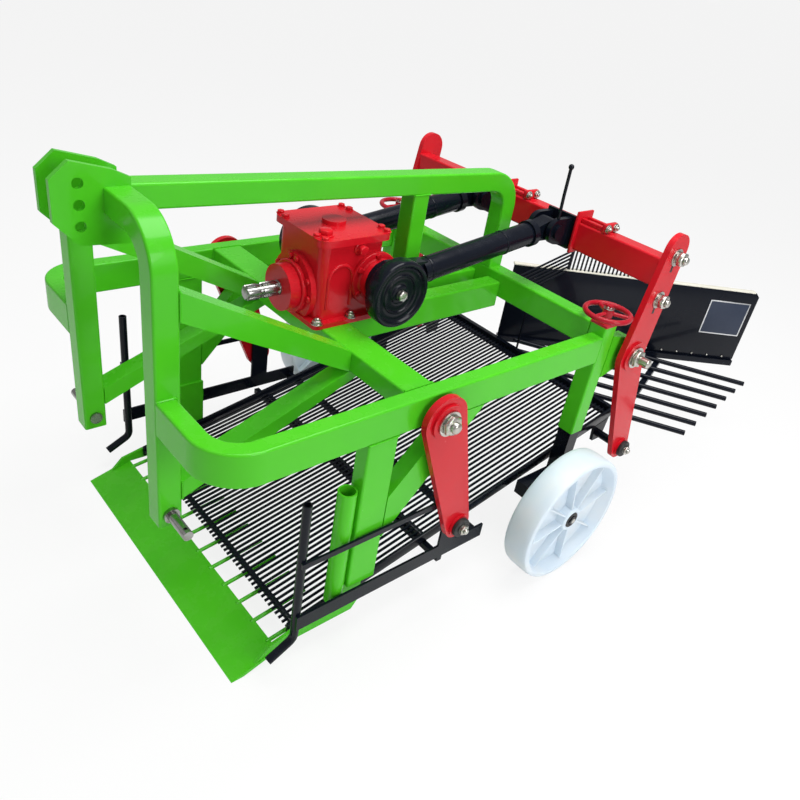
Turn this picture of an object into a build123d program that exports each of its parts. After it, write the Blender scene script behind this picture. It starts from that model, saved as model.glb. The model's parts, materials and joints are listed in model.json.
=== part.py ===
"""Tractor-mounted vibrating peanut harvester with a side-discharge rear grid.

X is across the machine (+X is the side with the blank plate), Y runs rearward from
the hitch, Z is up. The blade's edge and the wheels stand on Z = 0. Millimetres.
"""
import math
import os

from build123d import *

os.makedirs("parts", exist_ok=True)

# Main sizes
WORK_WIDTH = 800.0          # length of the digging blade
TUBE = 50.0                 # square tube of mast, top beam, posts and struts
TUBE_WALL = 4.0
TUBE_CORNER = 5.0
BEND_RADIUS = 75.0          # centre-line radius of the bent square tubes
EDGE_Y = -940.0             # blade edge, ahead of the middle of the machine
SIDES = (("right", 1.0), ("left", -1.0))

# Side rails and cross tubes
RAIL_TOP = 650.0
RAIL_WIDTH = 40.0
RAIL_HEIGHT = 75.0
SHANK_INSET = 2.0           # inner face of a shank inside the blade's end
RAIL_OUT = WORK_WIDTH / 2 - SHANK_INSET + RAIL_WIDTH
RAIL_BEND = 80.0            # centre-line radius of the rail's front bend
CROSS_Y = EDGE_Y + 375.0    # front face of the main cross tube
CROSS_DEPTH = 80.0
CROSS_HEIGHT = 50.0
REAR_TUBE_Y = EDGE_Y + 1012.0
REAR_TUBE_TOP = 675.0
REAR_TUBE_HEIGHT = 70.0

# Mast and three-point hitch
MAST_OUT = 195.0            # centre of a mast leg, from the centre plane
MAST_Y = EDGE_Y - 47.0      # centre of the mast
MAST_TOP = 987.0
MAST_FOOT = 345.0
HITCH_PLATE = 12.0          # thickness of a top-link plate
LINK_HOLE = 20.0            # top-link pin hole, diameter
LINK_HOLE_Y = EDGE_Y - 114.0
LINK_RISE = 9.0             # top hole above the mast's top
LINK_HOLE_TOP = MAST_TOP + LINK_RISE
LINK_HOLE_PITCH = 38.0
LINK_HOLES = 3
LOWER_PIN = 22.0            # lower hitch pin, diameter
LOWER_PIN_Z = 374.0
LOWER_PIN_REACH = 76.0      # pin length outside the mast leg
LINCHPIN_HOLE = 8.0
BEAM_FRONT = MAST_Y - 12.0  # front end of the top beam, between the link plates
BEAM_FALL = 0.04            # how much the top beam drops for each length

# Digging blade
BLADE_DEPTH = 114.0
BLADE_RISE = 36.0
BLADE_THICK = 10.0
BLADE_SOLE = 30.0
FINGER_ROD = 10.0
FINGER_LENGTH = 150.0
FINGER_COUNT = 12
FINGER_SLOPE = 9.0          # degrees
CHEEK = 8.0                 # thickness of the plates at the blade's ends

# Shanks that carry the blade
SHANK_Y = EDGE_Y + 265.0
SHANK_DEPTH = 78.0
SHANK_FOOT = 180.0
SOCKET_OD = 42.0
SOCKET_WALL = 4.0
SOCKET_IN = 21.5            # a socket's axis inside the rail's outer face
SOCKET_X = RAIL_OUT - SOCKET_IN
SOCKET_TOP = 456.0
SOCKET_FOOT = 140.0

# Gearbox
BOX_FRONT = EDGE_Y + 372.0
BOX_REAR = EDGE_Y + 548.0
BOX_HALF = 88.0
BOX_TOP = 840.0             # seat of the cover
BOX_FLANGE = 12.0
BOX_FLANGE_OUT = 18.0
COVER_THICK = 16.0
COVER_OUT = 12.0            # how far the cover stands out all round
FILLER_RADIUS = 28.0
BEAM_OUT = 75.0             # outer face of a gearbox beam
POST_DEPTH = 702.0          # centre post behind the blade's edge
PTO_SHAFT = 35.0
PTO_Z = 718.0
PTO_TIP = EDGE_Y + 235.0
HUB_RADIUS = 58.0           # input bearing housing
HUB_STEP = 68.0
HUB_LENGTH = 52.0
HUB_FLANGE = 78.0
HUB_FLANGE_THICK = 14.0
RUN_GAP = 0.1               # radial clearance of a running fit

# Crank, connecting rods
CRANK_Y = EDGE_Y + 522.0
CRANK_Z = 747.0
CRANK_SHAFT = 50.0
THROW = 8.0                 # throw of the eccentrics
JOURNAL_RADIUS = 32.0
BEARING_BOSS = 48.0         # radius of the gearbox's cross-shaft bosses
SIDE_GAP = 5.0              # boss to strap and strap to flywheel
ROD_X = 138.0               # plane of a connecting rod
STRAP_THICK = 30.0
STRAP_RADIUS = 50.0
NECK_LENGTH = 100.0
ROD_OD = 60.0
ROD_EYE_Y = EDGE_Y + 1070.0
ROD_EYE_Z = 829.0
KNUCKLE_RADIUS = 28.0
KNUCKLE_WIDTH = 40.0
EYE_PLAY = 22.0             # free way round the open rear eye
CHEEK_GAP = 6.0             # between a knuckle and its bracket's cheek
CHEEK_THICK = 14.0
CHEEK_RADIUS = 34.0
FLYWHEEL_RADIUS = 80.0
FLYWHEEL_THICK = 37.0

# Swinging arms and the parallel link of the sieve
ARM_THICK = 16.0
ARM_GAP = 14.0              # rail to arm
ARM_IN = RAIL_OUT + ARM_GAP
EYE_RING = 6.0              # height of the raised ring round an eye
RING_GAP = 0.3              # arm to the faces beside it
FORK_PLATE = 8.0
HANGER_Y = EDGE_Y + 445.0
HANGER_Z = 595.0
PIVOT_Y = EDGE_Y + 1140.0
PIVOT_Z = 582.0
LINK_BACK = 122.0           # lower eye behind the pivot
LINK_DOWN = 343.0           # lower eye below the pivot
ARM_RISE = 290.0            # arm's upper end above its pivot
ARM_TOP_Y = PIVOT_Y + 38.0
ARM_TOP_Z = PIVOT_Z + ARM_RISE
PIN = 24.0                  # pivot pins, diameter
SWING_BEAM_Y = PIVOT_Y - 10.0
SWING_BEAM_TOP = ARM_TOP_Z - 17.0
SWING_BEAM_HEIGHT = 75.0

# Sieve
SIEVE_GAP = 3.0             # sieve to the blade's cheeks
STRINGER = 10.0             # thickness of the flats along the floor's sides
STRINGER_OUT = RAIL_OUT - RAIL_WIDTH - CHEEK - SIEVE_GAP
SIEVE_HALF = STRINGER_OUT - STRINGER
FLOOR_FRONT = EDGE_Y + 150.0
FLOOR_FRONT_Z = 62.0
FLOOR_REAR = EDGE_Y + 1300.0
FLOOR_STEP = EDGE_Y + 560.0
FLOOR_SLOPE = 11.8          # degrees
FLOOR_ROD = 8.0
FLOOR_PITCH = 25.0
STRINGER_HEIGHT = 30.0
SIDE_BAR_GAP = 5.0          # shank to side frame
SIDE_BAR = 6.0
SIDE_BAR_FOOT = 137.0
SIDE_BAR_HEIGHT = 40.0
SIDE_BAR_REAR = EDGE_Y + 700.0
UPPER_BAR_Z = 334.0
GUARD_OD = 20.0
GUARD_Y = EDGE_Y + 132.0
GUARD_TOP = 480.0
GUARD_FOOT = 62.0

# Rear grid and deflector
TINE = 16.0
TINE_COUNT = 7
TINE_ANGLE = 31.5           # tines point this far behind the +X side
TINE_TIP_FRONT = (RAIL_OUT + 137.0, EDGE_Y + 1413.0)
TINE_TIP_REAR = (RAIL_OUT + 75.0, EDGE_Y + 1913.0)
ROOT_BAR_FRONT = (RAIL_OUT - 25.0, EDGE_Y + 1300.0)
ROOT_BAR_REAR = (RAIL_OUT - 188.0, EDGE_Y + 1785.0)
GRID_Z = 306.0
PANEL_HEIGHT = 265.0
PANEL_FOOT = 316.0
PANEL_THICK = 5.0
PANEL_FLANGE = 22.0
PANEL_START = (-125.0, EDGE_Y + 1322.0)
PANEL_END = (RAIL_OUT - 35.0, EDGE_Y + 2026.8)

# Wheels, legs and depth screws
WHEEL_RADIUS = 187.0
WHEEL_WIDTH = 80.0
WHEEL_GAP = 62.0            # rail to wheel
WHEEL_OUT = RAIL_OUT + WHEEL_GAP + WHEEL_WIDTH
WHEEL_Y = EDGE_Y + 915.0
WHEEL_SIDE_GAP = 1.0        # wheel to the collar on its axle
WHEEL_WEB = 10.0
WHEEL_HUB = 36.0
RIM_THICK = 16.0
AXLE = 25.0
AXLE_INSET = 4.0            # axle's end inside the wheel's outer face
LEG_GAP = 0.3               # leg to the inside of its post
LEG_TOP = 600.0
POST_FOOT = 349.0
SCREW_FOOT = 510.0
HANDWHEEL_RADIUS = 65.0
HANDWHEEL_Z = 706.0


def save(name, piece):
    """Label one finished sub-part and write it as its own STEP file."""
    piece.label = name
    export_step(piece, f"parts/{name}.step")


def box(xs, ys, zs, mode=Mode.ADD):
    """Add a block that spans the three pairs of limits."""
    centre = ((xs[0] + xs[1]) / 2, (ys[0] + ys[1]) / 2, (zs[0] + zs[1]) / 2)
    with Locations(centre):
        Box(abs(xs[1] - xs[0]), abs(ys[1] - ys[0]), abs(zs[1] - zs[0]), mode=mode)


def tube_section(width, height):
    """Draw a rounded rectangular tube section in the open sketch."""
    RectangleRounded(width, height, TUBE_CORNER)
    Rectangle(width - 2 * TUBE_WALL, height - 2 * TUBE_WALL, mode=Mode.SUBTRACT)


def cross_tube(xs, y0, z_top, depth, height):
    """A tube that runs across the machine."""
    start = Plane((xs[0], y0 + depth / 2, z_top - height / 2), x_dir=(0, 1, 0), z_dir=(1, 0, 0))
    with BuildPart() as tube:
        with BuildSketch(start):
            tube_section(depth, height)
        extrude(amount=xs[1] - xs[0])
    return tube.part


def long_tube(x, ys, z_top, width, height):
    """A tube that runs along the machine, centred on x."""
    start = Plane((x, ys[0], z_top - height / 2), x_dir=(1, 0, 0), z_dir=(0, 1, 0))
    with BuildPart() as tube:
        with BuildSketch(start):
            tube_section(width, height)
        extrude(amount=ys[1] - ys[0])
    return tube.part


def post_tube(x, y, zs, width, depth):
    """An upright tube, centred on x and y."""
    with BuildPart() as tube:
        with BuildSketch(Plane((x, y, zs[0]))):
            tube_section(width, depth)
        extrude(amount=zs[1] - zs[0])
    return tube.part


def side_profile(x0, x1, points):
    """A plate cut to an outline in the side view, from x0 to x1."""
    with BuildPart() as plate:
        with BuildSketch(Plane.YZ.offset(min(x0, x1))):
            with BuildLine():
                Polyline(*points, close=True)
            make_face()
        extrude(amount=abs(x1 - x0))
    return plate.part


def pair(name, make):
    """Write one node that holds the right and the left piece of a kind."""
    save(name, Compound(children=[make(side) for label, side in SIDES]))


def each(name, make):
    """Write the right and the left piece of a kind as two nodes."""
    for label, side in SIDES:
        save(f"{name}_{label}", make(side))


# Frame
def mast_leg(side):
    top = MAST_TOP - TUBE / 2
    plate_face = side * (TUBE / 2 + HITCH_PLATE)
    out = side * MAST_OUT
    with BuildPart() as leg:
        with BuildLine():
            Line((out, MAST_Y, MAST_FOOT), (out, MAST_Y, top - BEND_RADIUS))
            arc_mid = BEND_RADIUS * (1 - math.cos(math.pi / 4))
            ThreePointArc(
                (out, MAST_Y, top - BEND_RADIUS),
                (out - side * arc_mid, MAST_Y, top - arc_mid),
                (out - side * BEND_RADIUS, MAST_Y, top),
            )
            Line((out - side * BEND_RADIUS, MAST_Y, top), (plate_face, MAST_Y, top))
        with BuildSketch(Plane((out, MAST_Y, MAST_FOOT))):
            tube_section(TUBE, TUBE)
        sweep()
    return leg.part


def hitch_plate(side):
    inner = TUBE / 2
    outer = inner + HITCH_PLATE
    rear = MAST_Y + TUBE / 2
    front = LINK_HOLE_Y - 46
    foot = LINK_HOLE_TOP - LINK_HOLE_PITCH * (LINK_HOLES - 1) - 34
    with BuildPart() as plate:
        with BuildSketch(Plane.YZ.offset(side * outer if side < 0 else inner)):
            with BuildLine():
                Polyline(
                    (front, foot + 44),
                    (front, LINK_HOLE_TOP + 8),
                    (front + 34, LINK_HOLE_TOP + 38),
                    (rear - 32, LINK_HOLE_TOP + 20),
                    (rear, MAST_TOP + 14),
                    (rear, foot - 6),
                    (front + 42, foot),
                    close=True,
                )
            make_face()
            hole_places = [
                (LINK_HOLE_Y, LINK_HOLE_TOP - LINK_HOLE_PITCH * n) for n in range(LINK_HOLES)
            ]
            with Locations(*hole_places):
                Circle(LINK_HOLE / 2, mode=Mode.SUBTRACT)
        extrude(amount=HITCH_PLATE)
    return plate.part


def lower_pin(side):
    outer = side * (MAST_OUT + TUBE / 2)
    inner = side * (MAST_OUT - TUBE / 2)
    away = Plane((outer, MAST_Y, LOWER_PIN_Z), x_dir=(0, 1, 0), z_dir=(side, 0, 0))
    ring = Plane((inner, MAST_Y, LOWER_PIN_Z), x_dir=(0, 1, 0), z_dir=(-side, 0, 0))
    with BuildPart() as pin:
        with BuildSketch(away):
            Circle(LOWER_PIN / 2)
        extrude(amount=LOWER_PIN_REACH)
        with BuildSketch(away):
            Circle(LOWER_PIN / 2 + 6)
        extrude(amount=8)
        with BuildSketch(ring):
            Circle(LOWER_PIN / 2 + 3)
        extrude(amount=6)
        with BuildSketch(ring):
            Circle(LOWER_PIN / 2)
        extrude(amount=-TUBE)
        hole = Plane((outer + side * (LOWER_PIN_REACH - 12), MAST_Y, LOWER_PIN_Z))
        with BuildSketch(hole):
            Circle(LINCHPIN_HOLE / 2)
        extrude(amount=LOWER_PIN, both=True, mode=Mode.SUBTRACT)
    return pin.part


def drilled_leg(side):
    """The mast leg, bored for its lower hitch pin."""
    bore = Plane((0, MAST_Y, LOWER_PIN_Z), x_dir=(0, 1, 0), z_dir=(side, 0, 0))
    with BuildPart() as leg:
        add(mast_leg(side))
        with BuildSketch(bore):
            Circle(LOWER_PIN / 2)
        extrude(amount=MAST_OUT + TUBE, mode=Mode.SUBTRACT)
    return leg.part


def beam_z(y):
    """Height of the top beam's centre line."""
    return MAST_TOP - TUBE / 2 - BEAM_FALL * (y - BEAM_FRONT)


def top_beam():
    z = beam_z(BEAM_FRONT)
    rear = REAR_TUBE_Y + TUBE / 2
    rear_z = beam_z(rear)
    with BuildPart() as beam:
        with BuildLine():
            FilletPolyline(
                (0, BEAM_FRONT, z),
                (0, rear, rear_z),
                (0, rear, REAR_TUBE_TOP),
                radius=BEND_RADIUS,
            )
        with BuildSketch(Plane((0, BEAM_FRONT, z), x_dir=(1, 0, 0), z_dir=(0, 1, -BEAM_FALL))):
            tube_section(TUBE, TUBE)
        sweep()
    return beam.part


def side_rail(side):
    z = RAIL_TOP - RAIL_HEIGHT / 2
    x_in = side * (MAST_OUT + TUBE / 2)
    x_out = side * (RAIL_OUT - RAIL_WIDTH / 2)
    y_front = MAST_Y - TUBE / 2 + RAIL_WIDTH / 2
    with BuildPart() as rail:
        with BuildLine():
            FilletPolyline((x_in, y_front, z), (x_out, y_front, z), (x_out, REAR_TUBE_Y, z), radius=RAIL_BEND)
        with BuildSketch(Plane((x_in, y_front, z), x_dir=(0, 1, 0), z_dir=(side, 0, 0))):
            tube_section(RAIL_WIDTH, RAIL_HEIGHT)
        sweep()
    return rail.part


def strut_xs(side):
    return side * (MAST_OUT - TUBE / 2), side * (MAST_OUT + TUBE / 2)


def upper_strut(side):
    rear = MAST_Y + TUBE / 2
    points = ((rear, 861), (rear, 803), (CROSS_Y, RAIL_TOP - CROSS_HEIGHT), (CROSS_Y, RAIL_TOP))
    return side_profile(*strut_xs(side), points)


def lower_strut(side):
    rear = MAST_Y + TUBE / 2
    under = RAIL_TOP - CROSS_HEIGHT
    points = ((rear, 447), (rear, 404), (CROSS_Y + 65, under), (CROSS_Y, under))
    return side_profile(*strut_xs(side), points)


def shank(side):
    x = side * (RAIL_OUT - RAIL_WIDTH / 2)
    zs = (SHANK_FOOT, RAIL_TOP - RAIL_HEIGHT)
    return post_tube(x, SHANK_Y + SHANK_DEPTH / 2, zs, RAIL_WIDTH, SHANK_DEPTH)


def shank_brace(side):
    rear = SHANK_Y + SHANK_DEPTH
    under = RAIL_TOP - RAIL_HEIGHT
    points = ((rear, 297), (rear + 252, under), (rear + 157, under), (rear, 410))
    return side_profile(side * (RAIL_OUT - RAIL_WIDTH), side * RAIL_OUT, points)


def blade_cheek(side):
    inner = side * (RAIL_OUT - RAIL_WIDTH)
    e = EDGE_Y
    top_at = BLADE_RISE / BLADE_DEPTH
    points = (
        (e + 60, 60 * top_at),
        (e + BLADE_DEPTH, BLADE_RISE),
        (SHANK_Y + 60, BLADE_RISE),
        (SHANK_Y + SHANK_DEPTH, 62),
        (SHANK_Y + SHANK_DEPTH, SHANK_FOOT + 66),
        (SHANK_Y, SHANK_FOOT + 66),
        (SHANK_Y, 78),
        (e + 150, 66),
        (e + 92, 52),
    )
    return side_profile(inner, inner - side * CHEEK, points)


def pipe_socket(side):
    place = (side * SOCKET_X, SHANK_Y - SOCKET_OD / 2)
    with BuildPart() as socket:
        with BuildSketch(Plane.XY.offset(SOCKET_FOOT)):
            with Locations(place):
                Circle(SOCKET_OD / 2)
                Circle(SOCKET_OD / 2 - SOCKET_WALL, mode=Mode.SUBTRACT)
        extrude(amount=SOCKET_TOP - SOCKET_FOOT)
    return socket.part


def digging_blade():
    e = EDGE_Y
    rod_z = BLADE_RISE - BLADE_THICK / 2
    pitch = (WORK_WIDTH - 2 * (WORK_WIDTH / 2 - SIEVE_HALF + 10)) / (FINGER_COUNT - 1)
    tilt = math.radians(FINGER_SLOPE)
    first = Plane(
        (0, e + BLADE_DEPTH - 8, rod_z),
        x_dir=(1, 0, 0),
        z_dir=(0, math.cos(tilt), math.sin(tilt)),
    )
    with BuildPart() as blade:
        with BuildSketch(Plane.YZ):
            with BuildLine():
                Polyline(
                    (e, 0),
                    (e + BLADE_SOLE, 0),
                    (e + BLADE_DEPTH, BLADE_RISE - BLADE_THICK),
                    (e + BLADE_DEPTH, BLADE_RISE),
                    close=True,
                )
            make_face()
        extrude(amount=WORK_WIDTH / 2, both=True)
        with BuildSketch(first):
            with GridLocations(pitch, 1, FINGER_COUNT, 1):
                Circle(FINGER_ROD / 2)
        extrude(amount=FINGER_LENGTH)
    return blade.part


def gear_beam(side):
    x = side * (BEAM_OUT - TUBE / 2)
    return long_tube(x, (CROSS_Y + CROSS_DEPTH, REAR_TUBE_Y), RAIL_TOP, TUBE, RAIL_HEIGHT)


def centre_post():
    """Post from between the gearbox beams up to the top beam."""
    y = EDGE_Y + POST_DEPTH
    under = Plane((0, y, beam_z(y) - TUBE / 2 * math.hypot(1, BEAM_FALL)), x_dir=(1, 0, 0), z_dir=(0, BEAM_FALL, 1))
    with BuildPart() as post:
        add(post_tube(0, y, (RAIL_TOP - RAIL_HEIGHT, MAST_TOP), TUBE, TUBE))
        split(bisect_by=under, keep=Keep.BOTTOM)
    return post.part


def rear_post(side):
    x = side * (RAIL_OUT - TUBE / 2)
    return post_tube(x, REAR_TUBE_Y + TUBE / 2, (POST_FOOT, REAR_TUBE_TOP), TUBE, TUBE)


def pivot_pin(base):
    """Spacer boss, pin, washer and nut of an arm's pivot, standing on the plane."""
    outer = ARM_GAP + ARM_THICK + EYE_RING
    with BuildPart() as pin:
        with BuildSketch(base):
            Circle(28)
        extrude(amount=ARM_GAP - RING_GAP)
        with BuildSketch(base):
            Circle(PIN / 2)
        extrude(amount=outer + 24)
        with BuildSketch(base.offset(outer + RING_GAP)):
            Circle(PIN / 2 + 14)
        extrude(amount=4)
        with BuildSketch(base.offset(outer + RING_GAP + 4)):
            RegularPolygon(PIN / 2 + 9, 6)
        extrude(amount=12)
    return pin.part


def rear_bracket(side):
    """Plate behind the rear post that carries the arm's pivot, with its pin."""
    rear = REAR_TUBE_Y + TUBE
    face = side * RAIL_OUT
    pin = pivot_pin(Plane((face, PIVOT_Y, PIVOT_Z), x_dir=(0, 1, 0), z_dir=(side, 0, 0)))
    with BuildPart() as bracket:
        with BuildSketch(Plane.YZ.offset(face)):
            with BuildLine():
                Polyline((rear, 520), (rear, 644), (PIVOT_Y, 624), (PIVOT_Y, 540), close=True)
            make_face()
            with Locations((PIVOT_Y, PIVOT_Z)):
                Circle(42)
        extrude(amount=-side * RAIL_WIDTH)
        add(pin)
    return bracket.part


def hanger_pivot(side):
    """Boss and pin on the rail's outer face for the front hanger."""
    return pivot_pin(Plane((side * RAIL_OUT, HANGER_Y, HANGER_Z), x_dir=(0, 1, 0), z_dir=(side, 0, 0)))


each("mast_leg", drilled_leg)
pair("top_link_plates", hitch_plate)
pair("lower_hitch_pins", lower_pin)
save("top_beam", top_beam())
each("side_rail", side_rail)
pair("upper_struts", upper_strut)
pair("lower_struts", lower_strut)
cross_half = RAIL_OUT - RAIL_WIDTH
save("main_cross_tube", cross_tube((-cross_half, cross_half), CROSS_Y, RAIL_TOP, CROSS_DEPTH, CROSS_HEIGHT))
rear_half = RAIL_OUT - TUBE
save("rear_cross_tube", cross_tube((-rear_half, rear_half), REAR_TUBE_Y, REAR_TUBE_TOP, TUBE, REAR_TUBE_HEIGHT))
pair("gearbox_beams", gear_beam)
save("centre_post", centre_post())
pair("rear_posts", rear_post)
pair("rear_pivot_brackets", rear_bracket)
pair("hanger_pivots", hanger_pivot)
pair("shanks", shank)
pair("shank_braces", shank_brace)
pair("blade_cheeks", blade_cheek)
pair("pipe_sockets", pipe_socket)
save("digging_blade", digging_blade())


# Gearbox
def across(x, y, z, side=1.0):
    """Plane at a cross shaft, facing outward on one side of the machine."""
    return Plane((x, y, z), x_dir=(0, 1, 0), z_dir=(side, 0, 0))


def gearbox_housing():
    middle = (BOX_FRONT + BOX_REAR) / 2
    length = BOX_REAR - BOX_FRONT
    shaft = across(0, CRANK_Y, CRANK_Z)
    with BuildPart() as housing:
        with BuildSketch(Plane.XY.offset(RAIL_TOP)):
            with Locations((0, middle)):
                RectangleRounded(2 * (BOX_HALF + BOX_FLANGE_OUT), length + 2 * BOX_FLANGE_OUT, 12)
        extrude(amount=BOX_FLANGE)
        with BuildSketch(Plane.XY.offset(RAIL_TOP)):
            with Locations((0, middle)):
                RectangleRounded(2 * BOX_HALF, length, 20)
        extrude(amount=BOX_TOP - RAIL_TOP)
        with BuildSketch(shaft):
            Circle(BEARING_BOSS)
        extrude(amount=ROD_X - STRAP_THICK / 2 - SIDE_GAP, both=True)
        with BuildSketch(shaft):
            Circle(CRANK_SHAFT / 2 + RUN_GAP)
        extrude(amount=ROD_X, both=True, mode=Mode.SUBTRACT)
    return housing.part


def gearbox_cover():
    middle = (BOX_FRONT + BOX_REAR) / 2
    length = BOX_REAR - BOX_FRONT
    with BuildPart() as cover:
        with BuildSketch(Plane.XY.offset(BOX_TOP)):
            with Locations((0, middle)):
                RectangleRounded(2 * (BOX_HALF + COVER_OUT), length + 2 * COVER_OUT, 24)
        extrude(amount=COVER_THICK)
        with BuildSketch(Plane.XY.offset(BOX_TOP + COVER_THICK)):
            with Locations((0, middle)):
                Circle(FILLER_RADIUS)
        extrude(amount=10)
    return cover.part


def input_bearing():
    face = Plane((0, BOX_FRONT, PTO_Z), x_dir=(1, 0, 0), z_dir=(0, -1, 0))
    seat = RAIL_TOP + BOX_FLANGE - PTO_Z
    with BuildPart() as bearing:
        with BuildSketch(face):
            Circle(HUB_FLANGE)
            with Locations((0, seat - HUB_FLANGE)):
                Rectangle(2 * HUB_FLANGE, 2 * HUB_FLANGE, mode=Mode.SUBTRACT)
        extrude(amount=HUB_FLANGE_THICK)
        with BuildSketch(face.offset(HUB_FLANGE_THICK)):
            Circle(HUB_RADIUS - 4)
        extrude(amount=HUB_LENGTH - HUB_FLANGE_THICK)
        with BuildSketch(face):
            Circle(PTO_SHAFT / 2 + RUN_GAP)
        extrude(amount=HUB_LENGTH, mode=Mode.SUBTRACT)
    return bearing.part


def pto_shaft():
    tip = Plane((0, PTO_TIP, PTO_Z), x_dir=(1, 0, 0), z_dir=(0, 1, 0))
    with BuildPart() as shaft:
        with BuildSketch(tip):
            Circle(PTO_SHAFT / 2)
        extrude(amount=BOX_FRONT - 1 - PTO_TIP)
    return shaft.part


save("gearbox_housing", gearbox_housing())
save("gearbox_cover", gearbox_cover())
save("input_bearing", input_bearing())
save("pto_shaft", pto_shaft())

# Crank and connecting rods
JOURNAL_Z = CRANK_Z + THROW
STRAP_IN = ROD_X - STRAP_THICK / 2
FLYWHEEL_IN = ROD_X + STRAP_THICK / 2 + SIDE_GAP


def crankshaft():
    with BuildPart() as crank:
        with BuildSketch(across(0, CRANK_Y, CRANK_Z)):
            Circle(CRANK_SHAFT / 2)
        extrude(amount=STRAP_IN, both=True)
        for label, side in SIDES:
            with BuildSketch(across(side * STRAP_IN, CRANK_Y, JOURNAL_Z)):
                Circle(JOURNAL_RADIUS)
            extrude(amount=side * (FLYWHEEL_IN - STRAP_IN))
    return crank.part


def flywheel(side):
    """Disc on the crank's end, with a stepped outer face."""
    inner = across(side * FLYWHEEL_IN, CRANK_Y, CRANK_Z, side)
    with BuildPart() as disc:
        with BuildSketch(inner):
            Circle(FLYWHEEL_RADIUS)
        extrude(amount=FLYWHEEL_THICK)
        with BuildSketch(inner.offset(FLYWHEEL_THICK)):
            Circle(FLYWHEEL_RADIUS - 22)
            Circle(45, mode=Mode.SUBTRACT)
        extrude(amount=-8, mode=Mode.SUBTRACT)
        with BuildSketch(inner.offset(FLYWHEEL_THICK)):
            Circle(14)
        extrude(amount=9)
    return disc.part


def connecting_rod(side):
    """Strap, neck and tube, with the flat knuckle that its bracket takes."""
    x = side * ROD_X
    strap = Vector(x, CRANK_Y, JOURNAL_Z)
    eye = Vector(x, ROD_EYE_Y, ROD_EYE_Z)
    along = (eye - strap).normalized()
    length = (eye - strap).length
    tube_end = length - CHEEK_RADIUS - EYE_PLAY
    neck = strap + along * NECK_LENGTH
    with BuildPart() as rod:
        with BuildSketch(Plane.YZ.offset(x - STRAP_THICK / 2)):
            with Locations((strap.Y, strap.Z)):
                Circle(STRAP_RADIUS)
            with Locations((neck.Y, neck.Z)):
                Circle(ROD_OD / 2)
            make_hull()
            with Locations((strap.Y, strap.Z)):
                Circle(JOURNAL_RADIUS + RUN_GAP, mode=Mode.SUBTRACT)
        extrude(amount=STRAP_THICK)
        with BuildSketch(Plane(neck, x_dir=(1, 0, 0), z_dir=along)):
            Circle(ROD_OD / 2)
        extrude(amount=tube_end - NECK_LENGTH)
        with BuildSketch(Plane(strap + along * (tube_end - 24), x_dir=(1, 0, 0), z_dir=along)):
            Circle(ROD_OD / 2 + 5)
        extrude(amount=18)
        with BuildSketch(Plane.YZ.offset(x - KNUCKLE_WIDTH / 2)):
            with Locations((eye.Y, eye.Z)):
                Circle(KNUCKLE_RADIUS)
            shoulder = strap + along * (tube_end - 10)
            with Locations((shoulder.Y, shoulder.Z)):
                Circle(KNUCKLE_WIDTH / 2 - 2)
            make_hull()
        extrude(amount=KNUCKLE_WIDTH)
    return rod.part


save("crankshaft", crankshaft())
pair("flywheels", flywheel)
each("connecting_rod", connecting_rod)


# Swinging arms
def swing_arm(side, links, eyes):
    """Arm of tangent flat links, with a raised ring round each eye."""
    with BuildPart() as arm:
        for ends in links:
            with BuildSketch(Plane.YZ.offset(side * ARM_IN)):
                for y, z, radius in ends:
                    with Locations((y, z)):
                        Circle(radius)
                make_hull()
            extrude(amount=side * ARM_THICK)
        for y, z, ring in eyes:
            with BuildSketch(Plane.YZ.offset(side * (ARM_IN + ARM_THICK))):
                with Locations((y, z)):
                    Circle(ring)
            extrude(amount=side * EYE_RING)
            with BuildSketch(Plane.YZ.offset(side * ARM_IN)):
                with Locations((y, z)):
                    Circle(PIN / 2 + RUN_GAP)
            extrude(amount=side * (ARM_THICK + EYE_RING), mode=Mode.SUBTRACT)
    return arm.part


def hanger(side):
    top = (HANGER_Y, HANGER_Z)
    low = (HANGER_Y + LINK_BACK, HANGER_Z - LINK_DOWN)
    return swing_arm(side, (((*top, 58), (*low, 38)),), ((*top, 42), (*low, 30)))


def rear_arm(side):
    top = (ARM_TOP_Y, ARM_TOP_Z)
    pivot = (PIVOT_Y, PIVOT_Z)
    low = (PIVOT_Y + LINK_BACK, PIVOT_Z - LINK_DOWN)
    links = (((*top, 44), (*pivot, 54)), ((*pivot, 54), (*low, 38)))
    return swing_arm(side, links, ((*pivot, 42), (*low, 30)))


def rod_bracket(side):
    """Fork on the swing beam that takes the rod's knuckle."""
    x = side * ROD_X
    half = KNUCKLE_WIDTH / 2 + CHEEK_GAP
    outer = half + CHEEK_THICK
    face = SWING_BEAM_Y - FORK_PLATE
    with BuildPart() as bracket:
        box((x - outer - 6, x + outer + 6), (face, SWING_BEAM_Y), (SWING_BEAM_TOP - 78, SWING_BEAM_TOP + 14))
        for cheek in (-1, 1):
            with BuildSketch(Plane.YZ.offset(x + cheek * half)):
                with Locations((ROD_EYE_Y, ROD_EYE_Z)):
                    Circle(CHEEK_RADIUS)
                with Locations((face - 4, ROD_EYE_Z - 4)):
                    Rectangle(8, 76)
                make_hull()
            extrude(amount=cheek * CHEEK_THICK)
            with BuildSketch(Plane.YZ.offset(x + cheek * outer)):
                with Locations((ROD_EYE_Y, ROD_EYE_Z)):
                    Circle(19)
            extrude(amount=cheek * 8)
    return bracket.part


each("hanger", hanger)
pair("rear_arms", rear_arm)
save("swing_beam", cross_tube((-ARM_IN, ARM_IN), SWING_BEAM_Y, SWING_BEAM_TOP, TUBE, SWING_BEAM_HEIGHT))
pair("rod_brackets", rod_bracket)

# Sieve
FLOOR_RISE = math.tan(math.radians(FLOOR_SLOPE))
SIDE_BAR_IN = RAIL_OUT + SIDE_BAR_GAP


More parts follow.
